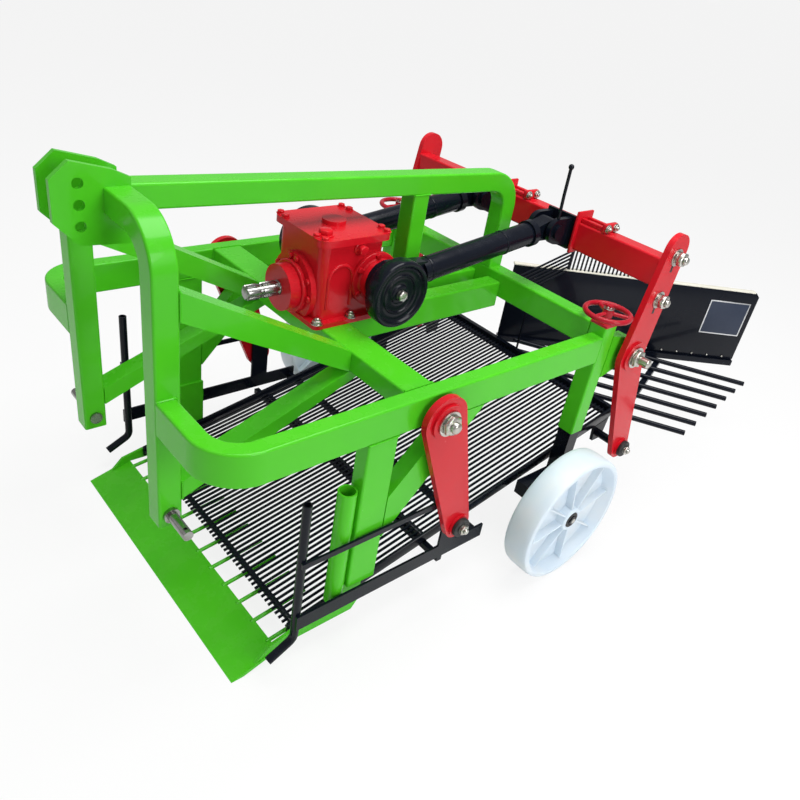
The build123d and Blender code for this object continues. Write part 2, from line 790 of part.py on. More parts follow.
def floor_z(y):
    """Height of the rods' centre line at a station."""
    return FLOOR_FRONT_Z + FLOOR_RISE * (y - FLOOR_FRONT)


def along_floor(x, y):
    """Plane across the floor's slope, looking up it."""
    return Plane((x, y, floor_z(y)), x_dir=(1, 0, 0), z_dir=(0, 1, FLOOR_RISE))


def sieve_floor():
    length = (FLOOR_REAR - FLOOR_FRONT) * math.hypot(1, FLOOR_RISE)
    rods = int(2 * SIEVE_HALF / FLOOR_PITCH) + 1
    with BuildPart() as floor:
        with BuildSketch(along_floor(0, FLOOR_FRONT)):
            with GridLocations(FLOOR_PITCH, 1, rods, 1):
                Circle(FLOOR_ROD / 2)
        extrude(amount=length + FLOOR_ROD)
        for y in (FLOOR_FRONT + 20, FLOOR_STEP, FLOOR_REAR - 12):
            with BuildSketch(Plane((-SIEVE_HALF, y, floor_z(y)), x_dir=(0, 1, 0), z_dir=(1, 0, 0))):
                Rectangle(14, 14)
            extrude(amount=2 * SIEVE_HALF)
        for label, side in SIDES:
            with BuildSketch(along_floor(side * (SIEVE_HALF + STRINGER_OUT) / 2, FLOOR_FRONT)):
                Rectangle(STRINGER_OUT - SIEVE_HALF, STRINGER_HEIGHT)
            extrude(amount=length + STRINGER_HEIGHT)
        split(bisect_by=Plane((0, FLOOR_REAR, 0), x_dir=(1, 0, 0), z_dir=(0, 1, 0)), keep=Keep.BOTTOM)
    return floor.part


def sieve_cross_bars():
    """Bars under the floor that reach out to the side frames."""
    with BuildPart() as bars:
        for y in (FLOOR_STEP, SIDE_BAR_REAR - 14):
            top = floor_z(y) - STRINGER_HEIGHT / 2 - 3
            box((-SIDE_BAR_IN, SIDE_BAR_IN), (y - 8, y + 8), (top - 16, top))
    return bars.part


def sieve_side(side):
    """Side frame: lower beam, upper bar and the plate that carries the hanger's pin."""
    x_in = side * SIDE_BAR_IN
    x_out = side * (SIDE_BAR_IN + SIDE_BAR)
    y = HANGER_Y + LINK_BACK
    z = HANGER_Z - LINK_DOWN
    gap = ARM_IN - SIDE_BAR_IN - SIDE_BAR
    eye = across(x_out, y, z, side)
    with BuildPart() as frame:
        box((x_in, x_out), (GUARD_Y - 8, SIDE_BAR_REAR), (SIDE_BAR_FOOT, SIDE_BAR_FOOT + SIDE_BAR_HEIGHT))
        box((x_in, x_out), (GUARD_Y - 8, y + 28), (UPPER_BAR_Z - 14, UPPER_BAR_Z))
        box((x_in, x_out), (y - 28, y + 28), (SIDE_BAR_FOOT, UPPER_BAR_Z))
        with BuildSketch(eye):
            Circle(PIN / 2)
        extrude(amount=gap + ARM_THICK + EYE_RING + 16)
        with BuildSketch(eye.offset(gap + ARM_THICK + EYE_RING + 0.5)):
            RegularPolygon(PIN / 2 + 8, 6)
        extrude(amount=10)
    return frame.part


def rear_lug(side):
    """Lug below the floor's rear corner, with the pin of the rear arm's lower eye."""
    x_in = side * SIEVE_HALF
    x_out = side * STRINGER_OUT
    y = PIVOT_Y + LINK_BACK
    z = PIVOT_Z - LINK_DOWN
    reach = ARM_IN + ARM_THICK + EYE_RING - STRINGER_OUT
    eye = across(x_out, y, z, side)
    rise = STRINGER_HEIGHT / 2 * math.hypot(1, FLOOR_RISE)
    lug_front = y - 32
    lug_rear = y + 32
    with BuildPart() as lug:
        with BuildSketch(Plane.YZ.offset(x_in)):
            with BuildLine():
                Polyline(
                    (lug_front, floor_z(lug_front) - rise),
                    (lug_front + 10, z - 22),
                    (lug_rear - 10, z - 22),
                    (lug_rear, floor_z(lug_rear) - rise),
                    close=True,
                )
            make_face()
        extrude(amount=x_out - x_in)
        with BuildSketch(eye):
            Circle(PIN / 2)
        extrude(amount=reach + 16)
        with BuildSketch(eye.offset(reach + 0.5)):
            RegularPolygon(PIN / 2 + 8, 6)
        extrude(amount=10)
    return lug.part


def crop_guard(side):
    """Upright pipe at the side frame's front end, its foot turned forward."""
    x = side * (SIDE_BAR_IN - GUARD_OD / 2)
    with BuildPart() as guard:
        with BuildLine():
            FilletPolyline(
                (x, GUARD_Y, GUARD_TOP),
                (x, GUARD_Y, GUARD_FOOT + 34),
                (x, GUARD_Y - 64, GUARD_FOOT),
                radius=25,
            )
        with BuildSketch(Plane((x, GUARD_Y, GUARD_TOP), x_dir=(1, 0, 0), z_dir=(0, 0, -1))):
            Circle(GUARD_OD / 2)
            Circle(GUARD_OD / 2 - 3, mode=Mode.SUBTRACT)
        sweep()
    return guard.part


save("sieve_floor", sieve_floor())
save("sieve_cross_bars", sieve_cross_bars())
pair("sieve_side_frames", sieve_side)
pair("rear_lugs", rear_lug)
pair("crop_guards", crop_guard)

# Rear grid and deflector
PANEL_RUN = Vector(*PANEL_END, 0) - Vector(*PANEL_START, 0)
PANEL_ALONG = PANEL_RUN.normalized()
PANEL_BACK = Vector(-PANEL_ALONG.Y, PANEL_ALONG.X, 0)
TINE_ALONG = Vector(math.cos(math.radians(TINE_ANGLE)), math.sin(math.radians(TINE_ANGLE)), 0)


def tine_length(tip):
    """Length from a tip back to the panel's foot or the floor's rear bar."""
    from_start = tip - Vector(*PANEL_START, 0)
    to_panel = -from_start.dot(PANEL_BACK) / TINE_ALONG.dot(-PANEL_BACK)
    to_floor = (tip.Y - FLOOR_REAR) / TINE_ALONG.Y
    return min(abs(to_panel), to_floor)


def rear_grid():
    """Side-discharge grid: tines from the floor and the panel's foot past an oblique bar."""
    first = Vector(*TINE_TIP_FRONT, 0)
    last = Vector(*TINE_TIP_REAR, 0)
    foot = Vector(*PANEL_START, GRID_Z)
    bar = Vector(*ROOT_BAR_FRONT, GRID_Z - TINE / 2 - 6)
    bar_run = Vector(*ROOT_BAR_REAR, GRID_Z - TINE / 2 - 6) - bar
    with BuildPart() as grid:
        box((-STRINGER_OUT, STRINGER_OUT), (FLOOR_REAR, FLOOR_REAR + 16), (GRID_Z - 14, GRID_Z + 10))
        with BuildSketch(Plane(foot, x_dir=(0, 0, 1), z_dir=PANEL_ALONG)):
            with Locations((0, -PANEL_THICK)):
                Rectangle(20, 24)
        extrude(amount=PANEL_RUN.length)
        with BuildSketch(Plane(bar, x_dir=(0, 0, 1), z_dir=bar_run.normalized())):
            Rectangle(16, 20)
        extrude(amount=bar_run.length)
        for n in range(TINE_COUNT):
            tip = first + (last - first) * (n / (TINE_COUNT - 1))
            start = tip + Vector(0, 0, GRID_Z)
            with BuildSketch(Plane(start, x_dir=(0, 0, 1), z_dir=-TINE_ALONG)):
                Circle(TINE / 2)
            extrude(amount=tine_length(tip) - TINE)
    return grid.part


def deflector_panel():
    """Upright sheet along the grid's rear edge, folded over at the top."""
    start = Vector(*PANEL_START, PANEL_FOOT)
    face = Plane(start, x_dir=PANEL_ALONG, z_dir=-PANEL_BACK)
    length = PANEL_RUN.length
    with BuildPart() as panel:
        with BuildSketch(face):
            with BuildLine():
                Polyline(
                    (0, 0),
                    (length - 130, 0),
                    (length - 26, 60),
                    (length, PANEL_HEIGHT - 40),
                    (length, PANEL_HEIGHT),
                    (0, PANEL_HEIGHT),
                    close=True,
                )
            make_face()
        extrude(amount=-PANEL_THICK)
        with BuildSketch(Plane(start, x_dir=PANEL_BACK, z_dir=PANEL_ALONG)):
            with Locations((PANEL_FLANGE / 2, PANEL_HEIGHT - PANEL_THICK / 2)):
                Rectangle(PANEL_FLANGE, PANEL_THICK)
        extrude(amount=length)
    return panel.part


save("rear_grid", rear_grid())
save("deflector_panel", deflector_panel())

# Wheels, their telescopic legs and depth screws
LEG_X = RAIL_OUT - TUBE / 2
LEG_Y = REAR_TUBE_Y + TUBE / 2
LEG_TUBE = TUBE - 2 * TUBE_WALL - 2 * LEG_GAP


def wheel_leg(side):
    x = side * LEG_X
    half = LEG_TUBE / 2
    foot = WHEEL_RADIUS - half
    with BuildPart() as leg:
        with BuildSketch(Plane.XY.offset(foot + LEG_TUBE)):
            with Locations((x, LEG_Y)):
                Rectangle(LEG_TUBE, LEG_TUBE)
                Rectangle(LEG_TUBE - 2 * TUBE_WALL, LEG_TUBE - 2 * TUBE_WALL, mode=Mode.SUBTRACT)
        extrude(amount=LEG_TOP - foot - LEG_TUBE)
        box((x - half, x + half), (WHEEL_Y - half - 6, LEG_Y + half), (foot, foot + LEG_TUBE))
        with BuildSketch(across(x, WHEEL_Y, WHEEL_RADIUS, side)):
            Circle(AXLE / 2)
        extrude(amount=WHEEL_OUT - AXLE_INSET - LEG_X)
        with BuildSketch(across(side * (LEG_X + half), WHEEL_Y, WHEEL_RADIUS, side)):
            Circle(AXLE / 2 + 8)
        extrude(amount=WHEEL_OUT - WHEEL_WIDTH - WHEEL_SIDE_GAP - LEG_X - half)
    return leg.part


def wheel(side):
    """Moulded wheel: rim and hub joined by a web."""
    middle = across(side * (WHEEL_OUT - WHEEL_WIDTH / 2), WHEEL_Y, WHEEL_RADIUS, side)
    with BuildPart() as rim:
        with BuildSketch(middle):
            Circle(WHEEL_RADIUS)
            Circle(WHEEL_RADIUS - RIM_THICK, mode=Mode.SUBTRACT)
        extrude(amount=WHEEL_WIDTH / 2, both=True)
        with BuildSketch(middle):
            Circle(WHEEL_RADIUS - RIM_THICK)
        extrude(amount=WHEEL_WEB / 2, both=True)
        with BuildSketch(middle):
            Circle(WHEEL_HUB)
        extrude(amount=WHEEL_WIDTH / 2, both=True)
        with BuildSketch(middle):
            Circle(AXLE / 2 + RUN_GAP)
        extrude(amount=WHEEL_WIDTH, both=True, mode=Mode.SUBTRACT)
    return rim.part


def depth_screw(side):
    """Handwheel on the screw that sets one wheel's height."""
    x = side * LEG_X
    hub = 14.0
    with BuildPart() as screw:
        with BuildSketch(Plane.XY.offset(REAR_TUBE_TOP)):
            with Locations((x, LEG_Y)):
                Rectangle(TUBE, TUBE)
        extrude(amount=6)
        with BuildSketch(Plane.XY.offset(SCREW_FOOT)):
            with Locations((x, LEG_Y)):
                Circle(10)
        extrude(amount=HANDWHEEL_Z + 22 - SCREW_FOOT)
        with BuildSketch(Plane.XY.offset(HANDWHEEL_Z - 10)):
            with Locations((x, LEG_Y)):
                Circle(hub)
        extrude(amount=20)
        with Locations((x, LEG_Y, HANDWHEEL_Z)):
            Torus(HANDWHEEL_RADIUS - 7, 7)
        for n in range(3):
            turn = math.radians(120 * n + 30)
            out = Vector(math.cos(turn), math.sin(turn), 0)
            with BuildSketch(Plane((x, LEG_Y, HANDWHEEL_Z), x_dir=(0, 0, 1), z_dir=out)):
                Circle(5)
            extrude(amount=HANDWHEEL_RADIUS - 8)
    return screw.part


each("wheel_leg", wheel_leg)
each("wheel", wheel)
pair("depth_screws", depth_screw)
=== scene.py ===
"""Looks of a tractor-mounted vibrating peanut harvester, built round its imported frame.

The frame's nodes keep their shape and get their finishes here. The classes below add what is
too small for the frame, such as nuts, weld beads and the blank plate, and stand finer forms in
for the sieve's floor, the panel, the wheels, the stub and the crank's discs. Dimensions are in
mm and become metres in mm() and Bench: +X is the discharge side, +Y is rearward, +Z is up.
"""
import json
import logging
import math
from dataclasses import dataclass, field
from enum import Enum
from typing import Sequence

import bpy
from mathutils import Matrix, Vector

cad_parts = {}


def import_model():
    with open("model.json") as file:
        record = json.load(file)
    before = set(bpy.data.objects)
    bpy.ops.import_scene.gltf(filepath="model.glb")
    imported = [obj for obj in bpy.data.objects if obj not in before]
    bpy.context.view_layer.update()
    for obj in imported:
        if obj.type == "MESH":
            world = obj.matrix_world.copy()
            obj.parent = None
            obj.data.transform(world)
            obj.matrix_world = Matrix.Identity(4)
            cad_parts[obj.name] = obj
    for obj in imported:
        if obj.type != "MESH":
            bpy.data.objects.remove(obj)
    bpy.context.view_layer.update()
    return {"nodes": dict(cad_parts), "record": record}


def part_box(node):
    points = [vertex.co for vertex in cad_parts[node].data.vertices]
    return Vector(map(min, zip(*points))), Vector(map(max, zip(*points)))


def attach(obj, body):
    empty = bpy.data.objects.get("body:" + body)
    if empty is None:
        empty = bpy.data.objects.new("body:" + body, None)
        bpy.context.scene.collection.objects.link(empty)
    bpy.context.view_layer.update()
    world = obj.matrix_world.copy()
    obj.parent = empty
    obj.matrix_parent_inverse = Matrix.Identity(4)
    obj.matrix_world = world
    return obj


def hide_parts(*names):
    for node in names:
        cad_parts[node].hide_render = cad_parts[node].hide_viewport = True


log = logging.getLogger("harvester")
MM = 0.001
RIGHT = Vector((1.0, 0.0, 0.0))
UP = Vector((0.0, 0.0, 1.0))
AHEAD = Vector((0.0, -1.0, 0.0))
CREASE = math.radians(35)  # edges sharper than this are rounded and shaded sharp
ROUND_CREASE = math.radians(50)  # the same for bars and threads
NODE_CREASE = math.radians(32)  # the same for the frame's nodes
Piece = bpy.types.Object
Colour = tuple[float, float, float]
WHITE: Colour = (1.0, 1.0, 1.0)
Pair = tuple[float, float]
Ring = Pair  # radius and height above the base, in mm
Spot = Pair  # y and z, in mm
Place = tuple[float, float, float]


def mm(x: float, y: float, z: float) -> Vector:
    """A place given in mm, as a vector in metres."""
    return Vector((x, y, z)) * MM


def polar(radius: float, angle: float) -> Spot:
    """A point on a circle, by its angle in degrees."""
    return math.cos(math.radians(angle)) * radius, math.sin(math.radians(angle)) * radius


@dataclass(frozen=True)
class Side:
    """One side of the machine: its name, and 1 or -1 for its way along x."""

    label: str
    way: float

    @property
    def axis(self) -> Vector:
        """The way out of this side."""
        return RIGHT * self.way

    def at(self, x: float, y: float, z: float) -> Vector:
        """A place in mm, its x measured out to this side."""
        return mm(self.way * x, y, z)


SIDES = (Side("right", 1.0), Side("left", -1.0))


class Slot(Enum):
    """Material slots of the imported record."""

    GREEN = "green"
    RED = "red"
    BLACK = "black"
    STEEL = "steel"
    NYLON = "nylon"


class Wire:
    """A value in a shader, so that maths on it reads as an expression."""

    def __init__(self, graph: "Graph", socket: bpy.types.NodeSocket) -> None:
        """Wrap one output socket.

        Args:
            graph: the shader that the socket is in.
            socket: the output socket.
        """
        self.graph = graph
        self.socket = socket

    def _maths(self, operation: str, other: object, clamp: bool = False) -> "Wire":
        """Add one Math node after this value.

        Args:
            operation: the node's operation.
            other: the second value, a number or a Wire.
            clamp: whether the result stays from 0 to 1.

        Returns:
            The node's value.
        """
        settings = {"operation": operation, "use_clamp": clamp}
        return self.graph.node("ShaderNodeMath", settings, {0: self, 1: other})

    def __add__(self, other: object) -> "Wire":
        """Sum."""
        return self._maths("ADD", other)

    def __sub__(self, other: object) -> "Wire":
        """Difference."""
        return self._maths("SUBTRACT", other)

    def __mul__(self, other: object) -> "Wire":
        """Product."""
        return self._maths("MULTIPLY", other)

    def above(self, level: float, width: float) -> "Wire":
        """A mask that rises from 0 to 1 as the value passes a level.

        Args:
            level: where the mask starts to rise.
            width: how far the value goes on until the mask is 1.

        Returns:
            The mask.
        """
        return (self - level)._maths("MULTIPLY", 1.0 / width, clamp=True)


class Graph:
    """One material's shader, with a single way to add nodes."""

    def __init__(self, name: str) -> None:
        """Start an empty material.

        Args:
            name: the material's name.
        """
        self.material = bpy.data.materials.new(name)
        self.material.use_nodes = True
        self.tree = self.material.node_tree
        self.tree.nodes.clear()

    def node(self, kind: str, settings: dict, inputs: dict, output: object = 0) -> Wire:
        """Add a node, set it up and feed it.

        Args:
            kind: the node's type.
            settings: attributes set before the inputs.
            inputs: number, colour or Wire for each input, by name or by place.
            output: name or place of the output that is wanted.

        Returns:
            The wanted output.
        """
        made = self.tree.nodes.new(kind)
        for key, value in settings.items():
            setattr(made, key, value)
        for key, value in inputs.items():
            if isinstance(value, Wire):
                self.tree.links.new(value.socket, made.inputs[key])
            else:
                made.inputs[key].default_value = value
        return Wire(self, made.outputs[output])

    def place(self) -> Wire:
        """Object coordinates, which stay with the piece as it moves."""
        return self.node("ShaderNodeTexCoord", {}, {}, "Object")

    def noise(self, scale: float, detail: float = 2.0, rough: float = 0.5) -> Wire:
        """Noise over the piece.

        Args:
            scale: cycles in a metre.
            detail: how many finer layers are added.
            rough: how strong the finer layers are.

        Returns:
            A value round 0.5.
        """
        inputs = {"Vector": self.place(), "Scale": scale, "Detail": detail, "Roughness": rough}
        return self.node("ShaderNodeTexNoise", {}, inputs, "Fac")

    def blend(self, share: object, first: object, second: object) -> Wire:
        """Mix two colours.

        Args:
            share: how much of the second colour shows, a number or a Wire.
            first: the first colour, as four numbers or a Wire.
            second: the second colour, as four numbers or a Wire.

        Returns:
            The mixed colour.
        """
        return self.node("ShaderNodeMix", {"data_type": "RGBA"}, {0: share, 6: first, 7: second}, 2)

    def upward(self) -> Wire:
        """How far the surface faces up, from -1 to 1."""
        normal = self.node("ShaderNodeNewGeometry", {}, {}, "Normal")
        return self.node("ShaderNodeSeparateXYZ", {}, {0: normal}, "Z")

    def bump(self, height: Wire, strength: float, distance: float) -> Wire:
        """A bumped normal.

        Args:
            height: the relief.
            strength: how much of it shows.
            distance: the relief's height in metres.

        Returns:
            The normal.
        """
        inputs = {"Height": height, "Strength": strength, "Distance": distance}
        return self.node("ShaderNodeBump", {}, inputs, "Normal")

    def surface(self, **inputs: object) -> bpy.types.Material:
        """End the shader.

        Args:
            **inputs: values of the main shader's sockets, with _ for a space.

        Returns:
            The finished material.
        """
        named = {key.replace("_", " "): value for key, value in inputs.items()}
        shader = self.node("ShaderNodeBsdfPrincipled", {}, named, "BSDF")
        self.node_output(shader)
        return self.material

    def node_output(self, shader: Wire) -> None:
        """Join a shader to the material's output.

        Args:
            shader: the shader to show.
        """
        end = self.tree.nodes.new("ShaderNodeOutputMaterial")
        self.tree.links.new(shader.socket, end.inputs["Surface"])


def rgba(colour: Colour) -> tuple[float, float, float, float]:
    """A colour with its alpha."""
    return (*colour, 1.0)


@dataclass(frozen=True)
class Enamel:
    """Sprayed gloss enamel, with fine orange peel, light soiling, and on top faces a lighter tint
    that is partly dust and partly painted top light.
    """

    name: str
    slot: Slot
    colour: Colour
    shade: Colour
    # lighter tint for top faces: partly dust, partly painted top light
    dust_and_top_light: Colour
    roughness: float = 0.24
    coat: float = 0.14
    shine: float = 0.17
    dust_and_top_light_share: float = 0.06
    peel: float = 0.06

    def material(self) -> bpy.types.Material:
        """Build the finish.

        Returns:
            Its material.
        """
        graph = Graph(self.name)
        drift = graph.noise(3.5, 3.0)
        stain = graph.noise(22.0, 5.0, 0.62)
        grit = graph.noise(160.0, 2.0)
        tone = graph.blend(drift.above(0.42, 0.3) * 0.55, rgba(self.colour), rgba(self.shade))
        # painted top light: upward faces get the lighter tint in patches, which also stands for
        # settled dust
        top_dust_and_light = graph.upward().above(0.3, 0.7) * stain.above(0.42, 0.3) * self.dust_and_top_light_share
        # grit adds random specks of the same lighter tint
        specks_dust_and_top_light = top_dust_and_light + grit.above(0.66, 0.1) * (self.dust_and_top_light_share * 0.35)
        tone = graph.blend(specks_dust_and_top_light, tone, rgba(self.dust_and_top_light))
        rough = stain * 0.16 + top_dust_and_light * 1.6 + (self.roughness - 0.08)
        peel = graph.bump(graph.noise(260.0, 1.0), self.peel, 0.0004)
        return graph.surface(
            Base_Color=tone,
            Roughness=rough,
            Specular_IOR_Level=self.shine,
            Coat_Weight=self.coat,
            Coat_Roughness=0.04,
            Normal=peel,
        )


@dataclass(frozen=True)
class BareSteel:
    """Turned or plated steel with fine tool marks."""

    name: str
    slot: Slot
    colour: Colour
    tint: Colour
    roughness: float = 0.3
    marks: float = 1400.0

    def material(self) -> bpy.types.Material:
        """Build the finish.

        Returns:
            Its material.
        """
        graph = Graph(self.name)
        smear = graph.noise(60.0, 4.0, 0.6)
        marks = graph.noise(self.marks, 1.0)
        tone = graph.blend(smear.above(0.45, 0.25), rgba(self.colour), rgba(self.tint))
        return graph.surface(
            Base_Color=tone,
            Metallic=1.0,
            Roughness=smear * 0.2 + (self.roughness - 0.1),
            Normal=graph.bump(marks, 0.2, 0.0002),
        )


@dataclass(frozen=True)
class Moulded:
    """Moulded plastic: faint flow marks and a soft sheen."""

    name: str
    slot: Slot
    colour: Colour
    shade: Colour
    roughness: float = 0.42
    grain: float = 500.0

    def material(self) -> bpy.types.Material:
        """Build the finish.

        Returns:
            Its material.
        """
        graph = Graph(self.name)
        flow = graph.noise(9.0, 3.0)
        scuff = graph.noise(70.0, 4.0, 0.65)
        tone = graph.blend(flow.above(0.4, 0.35) * 0.6, rgba(self.colour), rgba(self.shade))
        return graph.surface(
            Base_Color=tone,
            Roughness=scuff * 0.2 + (self.roughness - 0.1),
            Normal=graph.bump(graph.noise(self.grain, 1.0), 0.1, 0.0003),
        )


@dataclass(frozen=True)
class Plain:
    """A matt sheet such as the floor, shown white to the camera."""

    name: str
    colour: Colour
    glow: float

    def material(self) -> bpy.types.Material:
        """Build the finish.

        Returns:
            Its material.
        """
        graph = Graph(self.name)
        seen = graph.node("ShaderNodeLightPath", {}, {}, "Is Camera Ray")
        matt = graph.node("ShaderNodeBsdfDiffuse", {}, {"Color": rgba(self.colour)})
        white = graph.node("ShaderNodeEmission", {}, {"Color": rgba(WHITE), "Strength": 1.0})
        both = graph.node("ShaderNodeMixShader", {}, {0: seen * self.glow, 1: matt, 2: white})
        graph.node_output(both)
        return graph.material


# each enamel's third colour is its lighter top tint: partly dust, partly painted top light
GREEN = Enamel(
    "green_enamel", Slot.GREEN, (0.075, 0.54, 0.014), (0.055, 0.46, 0.012), (0.30, 0.62, 0.16)
)
RED = Enamel("red_enamel", Slot.RED, (0.62, 0.008, 0.018), (0.47, 0.005, 0.012), (0.62, 0.16, 0.15))
DARK_RED = Enamel(
    "dark_red_enamel", Slot.RED, (0.44, 0.010, 0.024), (0.30, 0.008, 0.016), (0.5, 0.12, 0.1)
)
BLACK = Enamel(
    "black_enamel",
    Slot.BLACK,
    (0.0035, 0.005, 0.010),
    (0.006, 0.008, 0.014),
    (0.04, 0.05, 0.08),
    roughness=0.22,
    coat=0.1,
    shine=0.14,
)
ZINC = BareSteel("zinc_plate", Slot.STEEL, (0.56, 0.55, 0.51), (0.40, 0.38, 0.33), 0.28)
TURNED = BareSteel("turned_steel", Slot.STEEL, (0.36, 0.36, 0.35), (0.22, 0.21, 0.19), 0.26)
NYLON = Moulded("white_nylon", Slot.NYLON, (0.66, 0.76, 0.85), (0.80, 0.81, 0.80))
RUBBER = Moulded("black_seal", Slot.BLACK, (0.02, 0.02, 0.02), (0.035, 0.035, 0.035), 0.6)
# pale cream for the panel's top fold: a painted highlight of light on its top
PAINTED_HIGHLIGHT_CREAM = Moulded("painted_highlight_edge", Slot.BLACK, (0.78, 0.76, 0.66), (0.70, 0.68, 0.58), 0.5)
FIELD = Moulded("plate_field", Slot.STEEL, (0.012, 0.022, 0.05), (0.016, 0.028, 0.06), 0.5)
PLATE = BareSteel("blank_plate", Slot.STEEL, (0.74, 0.75, 0.76), (0.66, 0.67, 0.68), 0.34)


class Finishes:
    """Builds each finish once and gives it to pieces."""

    def __init__(self) -> None:
        """Start with no material built."""
        self.built: dict[str, bpy.types.Material] = {}

    def dress(self, piece: Piece, finish: object) -> Piece:
        """Give a piece one finish all over.

        Args:
            piece: the mesh object.
            finish: the finish to show.

        Returns:
            The same piece.
        """
        if finish.name not in self.built:
            self.built[finish.name] = finish.material()
        piece.data.materials.clear()
        piece.data.materials.append(self.built[finish.name])
        return piece


class Bench:
    """The modelling moves that every class uses."""

    @staticmethod
    def only(piece: Piece) -> None:
        """Select one piece and nothing else.

        Args:
            piece: the object to select.
        """
        bpy.ops.object.select_all(action="DESELECT")
        piece.select_set(True)
        bpy.context.view_layer.objects.active = piece

    @staticmethod
    def turned(name: str, rings: Sequence[Ring], sides: int = 32) -> Piece:
        """Raise a stepped round or many-sided shape from a disc.

        Args:
            name: the new object's name.
            rings: the rings from the base up. A smaller ring at one height makes a step.
            sides: how many sides the shape has.

        Returns:
            The shape, standing on the origin along +Z.
        """
        radius, height = rings[0]
        bpy.ops.object.select_all(action="DESELECT")
        bpy.ops.mesh.primitive_circle_add(
            vertices=sides,
            radius=radius * MM,
            fill_type="NGON",
            location=(0.0, 0.0, height * MM),
        )
        piece = bpy.context.object
        bpy.ops.object.mode_set(mode="EDIT")
        bpy.ops.mesh.select_all(action="SELECT")
        for wide, high in rings[1:]:
            move = {"value": (0.0, 0.0, (high - height) * MM)}
            bpy.ops.mesh.extrude_region_move(TRANSFORM_OT_translate=move)
            share = wide / radius
            middle = (0.0, 0.0, 0.0)
            bpy.ops.transform.resize(value=(share, share, 1.0), center_override=middle)
            radius, height = wide, high
        bpy.ops.mesh.select_all(action="SELECT")
        bpy.ops.mesh.normals_make_consistent(inside=False)
        bpy.ops.object.mode_set(mode="OBJECT")
        bpy.ops.object.transform_apply(location=True, rotation=True, scale=True)
        piece.name = name
        return piece

    @staticmethod
    def soften(piece: Piece, edge: float, segments: int = 2) -> Piece:
        """Round a piece's sharp edges and shade it smooth.

        Args:
            piece: the mesh object.
            edge: the radius of its edges.
            segments: the steps round an edge.

        Returns:
            The same piece.
        """
        Bench.only(piece)
        bevel = piece.modifiers.new("edges", "BEVEL")
        bevel.width = edge
        bevel.segments = segments
        bevel.limit_method = "ANGLE"
        bevel.angle_limit = CREASE
        bpy.ops.object.modifier_apply(modifier=bevel.name)
        bpy.ops.object.shade_smooth_by_angle(angle=CREASE)
        return piece

    @staticmethod
    def span(name: str, first: Vector, second: Vector, edge: float) -> Piece:
        """A block with rounded edges between two opposite corners.

        Args:
            name: the new object's name.
            first: one corner.
            second: the opposite corner.
            edge: the radius of its edges.

        Returns:
            The block.
        """
        low = Vector([min(pair) for pair in zip(first, second)])
        high = Vector([max(pair) for pair in zip(first, second)])
        bpy.ops.object.select_all(action="DESELECT")
        bpy.ops.mesh.primitive_cube_add(size=1.0, location=(low + high) / 2)
        piece = bpy.context.object
        piece.scale = high - low
        bpy.ops.object.transform_apply(location=True, rotation=True, scale=True)
        piece.name = name
        return Bench.soften(piece, edge)

    @staticmethod
    def plate(
        name: str,
        outline: Sequence[Pair],
        origin: Vector,
        along: Vector,
        up: Vector,
        thick: float,
        edge: float,
    ) -> Piece:
        """A flat plate from an outline.

        Args:
            name: the new object's name.
            outline: corners in mm, along and up from the origin.
            origin: where the outline is measured from.
            along: the outline's first direction.
            up: the outline's second direction.
            thick: the plate's thickness in mm, towards along x up.
            edge: the radius of its edges in mm.

        Returns:
            The plate.
        """
        bpy.ops.object.select_all(action="DESELECT")
        bpy.ops.mesh.primitive_circle_add(vertices=len(outline), radius=1.0, fill_type="NGON")
        piece = bpy.context.object
        for vertex, (first, second) in zip(piece.data.vertices, outline):
            vertex.co = origin + along * (first * MM) + up * (second * MM)
        bpy.ops.object.mode_set(mode="EDIT")
        bpy.ops.mesh.select_all(action="SELECT")
        move = {"value": along.cross(up) * (thick * MM)}
        bpy.ops.mesh.extrude_region_move(TRANSFORM_OT_translate=move)
        bpy.ops.mesh.select_all(action="SELECT")
        bpy.ops.mesh.normals_make_consistent(inside=False)
        bpy.ops.object.mode_set(mode="OBJECT")
        piece.name = name
        return Bench.soften(piece, edge * MM)

    @staticmethod
    def bar(
        name: str,
        line: Sequence[Vector],
        radius: float,
        fine: int = 2,
        waist: float = 1.0,
    ) -> Piece:
        """A round bar along a line.

        Args:
            name: the new object's name.
            line: the points that it follows.
            radius: its radius in mm.
            fine: how finely it is rounded.
            waist: share of the radius at every second point.

        Returns:
            The bar.
        """
        curve = bpy.data.curves.new(name, "CURVE")
        curve.dimensions = "3D"
        curve.bevel_depth = radius * MM
        curve.bevel_resolution = fine
        curve.use_fill_caps = True
        spline = curve.splines.new("POLY")
        spline.points.add(len(line) - 1)
        for n, (point, place) in enumerate(zip(spline.points, line)):
            point.co = (*place, 1.0)
            point.radius = waist if n % 2 else 1.0
        piece = bpy.data.objects.new(name, curve)
        bpy.context.scene.collection.objects.link(piece)
        Bench.only(piece)
        bpy.ops.object.convert(target="MESH")
        piece = bpy.context.object
        bpy.ops.object.shade_smooth_by_angle(angle=ROUND_CREASE)
        return piece

    @staticmethod
    def stand(pattern: Piece, place: Vector, axis: Vector, turn: float = 0.0) -> Piece:
        """Copy a pattern with its own mesh and stand it on a place along an axis.

        Args:
            pattern: the shape at the origin, along +Z.
            place: where its base goes.
            axis: the way that it points.
            turn: its turn about its own axis, in degrees.

        Returns:
            The copy.
        """
        copy = bpy.data.objects.new(pattern.name, pattern.data.copy())
        bpy.context.scene.collection.objects.link(copy)
        aim = axis.to_track_quat("Z", "Y").to_matrix().to_4x4()
        spin = Matrix.Rotation(math.radians(turn), 4, "Z")
        copy.data.transform(Matrix.Translation(place) @ aim @ spin)
        return copy

